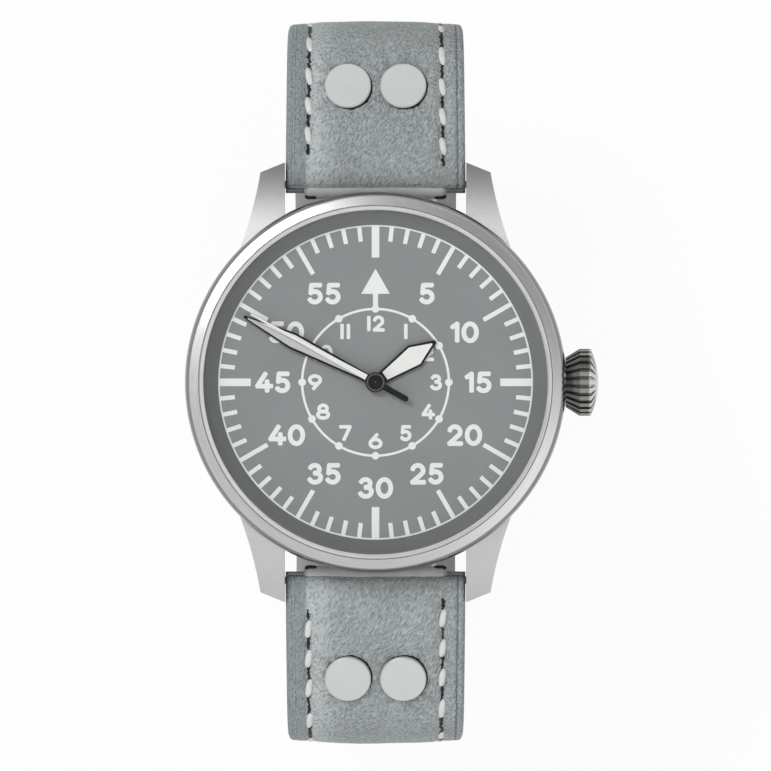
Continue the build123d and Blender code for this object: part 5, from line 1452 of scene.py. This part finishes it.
class WATCH_OT_stitches(bpy.types.Operator):
    """Sew both strap halves"""
    bl_idname = "watch.stitches"
    bl_label = "Stitches"

    def execute(self, context):
        scene = context.scene
        material = waxed_thread("waxed_thread", scene.finishes.thread)
        for long, body in STRAP_HALVES:
            made = seam_threads(body + "_stitches", Route(scene.strap_sizes, long), scene)
            finish_piece(made, material, body, "strap_leather")
        return {"FINISHED"}


class WATCH_OT_keepers(bpy.types.Operator):
    """Build the two leather keepers"""
    bl_idname = "watch.keepers"
    bl_label = "Keepers"

    def execute(self, context):
        scene = context.scene
        skin = upper_leather("keeper_grain", scene)
        for node, body in (("fixed_keeper", "strap_12"), ("free_keeper", "sliding_keeper")):
            made = keeper_loop(node + "_loop", node, scene.keeper_sizes)
            finish_piece(made, skin, body, "strap_leather", node)
        return {"FINISHED"}


class WATCH_OT_numerals(bpy.types.Operator):
    """Print the minute and hour figures on the dial"""
    bl_idname = "watch.numerals"
    bl_label = "Numerals"

    def execute(self, context):
        sizes = context.scene.numeral_sizes
        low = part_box("dial")[1].z
        paint = painted("figure_paint", context.scene.finishes.print, 0.55, 0.1, 0.004, 0.02)
        minutes = [None] + [str(5 * index) for index in range(1, 12)]
        hours = [str(index or 12).replace("1", "I") for index in range(12)]
        made = ring_of_figures("minute_figures", minutes, sizes.minute_reach_x, sizes.minute_reach_y,
                               sizes.minute_height, sizes, low, sizes.drop)
        finish_piece(made, paint, "case", "print_white")
        made = ring_of_figures("hour_figures", hours, sizes.hour_reach_x, sizes.hour_reach_y,
                               sizes.hour_height, sizes, low)
        finish_piece(made, paint, "case", "print_white")
        return {"FINISHED"}


class WATCH_OT_dial_and_hands(bpy.types.Operator):
    """Finish the dial, its markings, the flange ring and the hands"""
    bl_idname = "watch.dial_and_hands"
    bl_label = "Dial and hands"

    def execute(self, context):
        tones, borders = context.scene.finishes, context.scene.border_sizes
        dress(dial_paint("dial_paint", tones.dial, tones.dial_rim, borders), "dial")
        dress(painted("print_paint", tones.print, 0.55, 0.1, 0.004, 0.02), "dial_markings")
        dress(ring_brushed("flange_paint", tones.flange, 0.5, 0.0), "flange_ring")
        dress(painted("hand_paint", tones.hand, 0.4, 0.1, 0.002, gloss=0.2), "hour_hand",
              "minute_hand")
        dress(painted("hand_lume", tones.lume, 0.6, 0.08, 0.006, 0.03), "hour_hand_lume")
        dress(ridged_lume("ridged_lume", tones.lume, hand_heading("minute_hand")),
              "minute_hand_lume")
        dress(seconds_paint("seconds_paint", tones.hand, tones.lume, hand_heading("seconds_hand"),
                            borders.seconds_hub), "seconds_hand")
        return {"FINISHED"}


class WATCH_OT_case_finishes(bpy.types.Operator):
    """Finish the case, bezel, crystal, crown and case back"""
    bl_idname = "watch.case_finishes"
    bl_label = "Case finishes"

    def execute(self, context):
        tones, borders = context.scene.finishes, context.scene.border_sizes
        stem_height = JOINTS["crown_turn"]["pos_m"][2]
        dress(straight_brushed("case_steel", tones.steel, 0.42), "case_middle")
        dress(bezel_steel("bezel_steel", tones.bezel, borders), "bezel")
        dress(ring_brushed("back_steel", tones.steel, 0.34), "case_back")
        dress(fluted_steel("crown_steel", tones.crown, stem_height, borders), "crown")
        dress(polished("bar_steel", tones.pinion, 0.3), "spring_bars", "crown_tube")
        dress(clear_crystal("clear_crystal", tones, borders), "crystal")
        dress(painted("gasket_nylon", tones.nylon, 0.5), "crystal_gasket")
        dress(painted("gasket_rubber", tones.rubber, 0.7), "case_back_gasket", "crown_gasket")
        dress(painted("ring_plastic", tones.plastic, 0.5), "movement_ring")
        return {"FINISHED"}


class WATCH_OT_movement_finishes(bpy.types.Operator):
    """Finish the plates, wheels, springs and jewels of the movement"""
    bl_idname = "watch.movement_finishes"
    bl_label = "Movement finishes"

    def execute(self, context):
        tones = context.scene.finishes
        dress(ring_brushed("mainplate_nickel", tones.plate, 0.3), "mainplate", "rotor")
        dress(straight_brushed("bridge_nickel", tones.plate, 0.3, (0.08, 1.0, 1.0)),
              "barrel_bridge", "train_bridge", "balance_cock", "pallet_cock")
        dress(polished("wheel_brass", tones.brass, 0.22), "centre_wheel", "third_wheel",
              "fourth_wheel", "barrel", "minute_wheel", "hour_wheel", "balance_wheel")
        dress(polished("pinion_steel", tones.pinion, 0.2), "winding_stem", "clutch_pinion",
              "winding_pinion", "escape_wheel", "mainspring", "barrel_arbor", "ratchet_wheel",
              "crown_wheel", "click", "hairspring", "pallet_fork", "cannon_pinion",
              "minute_wheel_post", "rotor_bearing", "bridge_screws")
        dress(ruby("jewel_ruby", tones.jewel), "jewels")
        return {"FINISHED"}


class WATCH_OT_strap_metal(bpy.types.Operator):
    """Finish the rivets and the buckle"""
    bl_idname = "watch.strap_metal"
    bl_label = "Rivets and buckle"

    def execute(self, context):
        tones = context.scene.finishes
        dress(painted("rivet_steel", tones.rivet, 0.42, 0.15, 0.004, 0.02, metallic=0.35),
              "strap_12_rivets", "strap_6_rivets")
        dress(straight_brushed("buckle_steel", tones.steel, 0.36, (0.06, 1.0, 1.0)), "buckle_frame",
              "buckle_bar")
        dress(straight_brushed("tongue_steel", tones.steel, 0.36), "buckle_tongue")
        return {"FINISHED"}


def pale_surface(name, tone, level):
    """Pale matt surface that the camera, metal and glass see as near white."""
    made = Finish(name, Roughness=0.9)
    patch = 0.05
    made.set("Base Color", made.blend(made.noise(patch), shade(tone, 0.99), shade(tone, 1.0)))
    path = made.tree.nodes.new("ShaderNodeLightPath")
    seen = [Wire(made.tree, path.outputs[key]) for key in (
        "Is Camera Ray", "Is Glossy Ray", "Is Transmission Ray")]
    seen = seen[0].math("MAXIMUM", seen[0], seen[1].math("MAXIMUM", seen[1], seen[2]))
    glow = made.node("Emission", Color=(1.0, 1.0, 1.0), Strength=1.0)
    both = made.node("MixShader", i0=seen * level, i1=Wire(made.tree, made.shader.outputs[0]), i2=glow)
    made.tree.links.new(both.socket, made.tree.nodes["Material Output"].inputs["Surface"])
    return made.material


def studio_world(stage):
    """Pale studio: white behind the object, with darker walls low down for the metal to show."""
    world = bpy.data.worlds.new("studio")
    world.use_nodes = True
    tree = world.node_tree
    tree.nodes.clear()
    path = tree.nodes.new("ShaderNodeLightPath")
    back = tree.nodes.new("ShaderNodeBackground")
    coordinates = tree.nodes.new("ShaderNodeTexCoord")
    parts = tree.nodes.new("ShaderNodeSeparateXYZ")
    tree.links.new(coordinates.outputs["Generated"], parts.inputs[0])
    right, ahead, up = [Wire(tree, parts.outputs[index]) for index in range(3)]
    to_right, to_back, to_top = stage.fill_slope
    lit = up * to_top + ahead * to_back + right * to_right + stage.fill_level
    lit = lit.math("MAXIMUM", lit, stage.fill_least)
    camera = Wire(tree, path.outputs["Is Camera Ray"])
    feed(tree, back.inputs["Color"], (1.0, 1.0, 1.0))
    feed(tree, back.inputs["Strength"], camera + (1 - camera) * lit)
    out = tree.nodes.new("ShaderNodeOutputWorld")
    tree.links.new(back.outputs[0], out.inputs[0])
    return world


def area_light(name, place, target, size, power):
    """Square soft light aimed at a point."""
    lamp = bpy.data.lights.new(name, "AREA")
    lamp.shape, lamp.size, lamp.energy = "SQUARE", size, power
    made = bpy.data.objects.new(name, lamp)
    bpy.context.scene.collection.objects.link(made)
    made.location = place
    made.rotation_euler = (Vector(target) - Vector(place)).to_track_quat("-Z", "Y").to_euler()
    return made


class WATCH_OT_stage(bpy.types.Operator):
    """Make the floor, the light and the camera"""
    bl_idname = "watch.stage"
    bl_label = "Stage"

    def execute(self, context):
        scene = context.scene
        stage = scene.stage_sizes
        half = stage.floor_size / 2
        floor = add_mesh("floor", [(-half, -half, 0), (half, -half, 0), (half, half, 0),
                                   (-half, half, 0)], [(0, 1, 2, 3)])
        floor.data.materials.append(pale_surface("floor_white", scene.finishes.floor, stage.floor_glow))
        scene.world = studio_world(stage)
        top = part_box("bezel")[1].z
        target = (0, 0, top)
        area_light("key", stage.key_place, target, stage.key_size, stage.key_power)
        area_light("rim", stage.rim_place, target, stage.rim_size, stage.key_power * stage.rim_share)
        camera = bpy.data.cameras.new("camera")
        camera.lens = camera.sensor_width * stage.camera_distance / stage.view_width
        camera.clip_end = 10.0
        seen = bpy.data.objects.new("camera", camera)
        scene.collection.objects.link(seen)
        seen.location = (stage.camera_x, stage.camera_y, top + stage.camera_distance)
        scene.camera = seen
        scene.view_settings.view_transform = "Standard"
        return {"FINISHED"}


OPERATORS = (WATCH_OT_stage, WATCH_OT_strap_leather, WATCH_OT_strap_lining, WATCH_OT_stitches,
             WATCH_OT_keepers, WATCH_OT_numerals, WATCH_OT_dial_and_hands, WATCH_OT_case_finishes,
             WATCH_OT_movement_finishes, WATCH_OT_strap_metal)
GROUPS = {"strap_sizes": StrapSizes, "relief_sizes": ReliefSizes, "loop_sizes": LoopSizes,
          "stitch_sizes": StitchSizes, "grain_sizes": GrainSizes, "keeper_sizes": KeeperSizes,
          "numeral_sizes": NumeralSizes, "border_sizes": BorderSizes, "finishes": Finishes,
          "stage_sizes": StageSizes}


class WATCH_PT_panel(bpy.types.Panel):
    """Steps and sizes of the watch"""
    bl_idname = "WATCH_PT_panel"
    bl_label = "Pilot watch"
    bl_space_type = "VIEW_3D"
    bl_region_type = "UI"
    bl_category = "Watch"

    def draw(self, context):
        for operator in OPERATORS:
            self.layout.operator(operator.bl_idname)
        for key, group in GROUPS.items():
            box = self.layout.box()
            box.label(text=group.__doc__)
            for prop in group.__annotations__:
                box.prop(getattr(context.scene, key), prop)


def register():
    """Registers the property groups, the operators and the panel."""
    for group in GROUPS.values():
        bpy.utils.register_class(group)
    for key, group in GROUPS.items():
        setattr(bpy.types.Scene, key, PointerProperty(type=group))
    for item in (*OPERATORS, WATCH_PT_panel):
        bpy.utils.register_class(item)


def unregister():
    """Takes all that register added away again."""
    for item in reversed((*OPERATORS, WATCH_PT_panel)):
        bpy.utils.unregister_class(item)
    for key, group in GROUPS.items():
        delattr(bpy.types.Scene, key)
        bpy.utils.unregister_class(group)


def main():
    """Builds everything in order."""
    register()
    for operator in OPERATORS:
        area, step = operator.bl_idname.split(".")
        getattr(getattr(bpy.ops, area), step)()


if __name__ == "__main__":
    main()
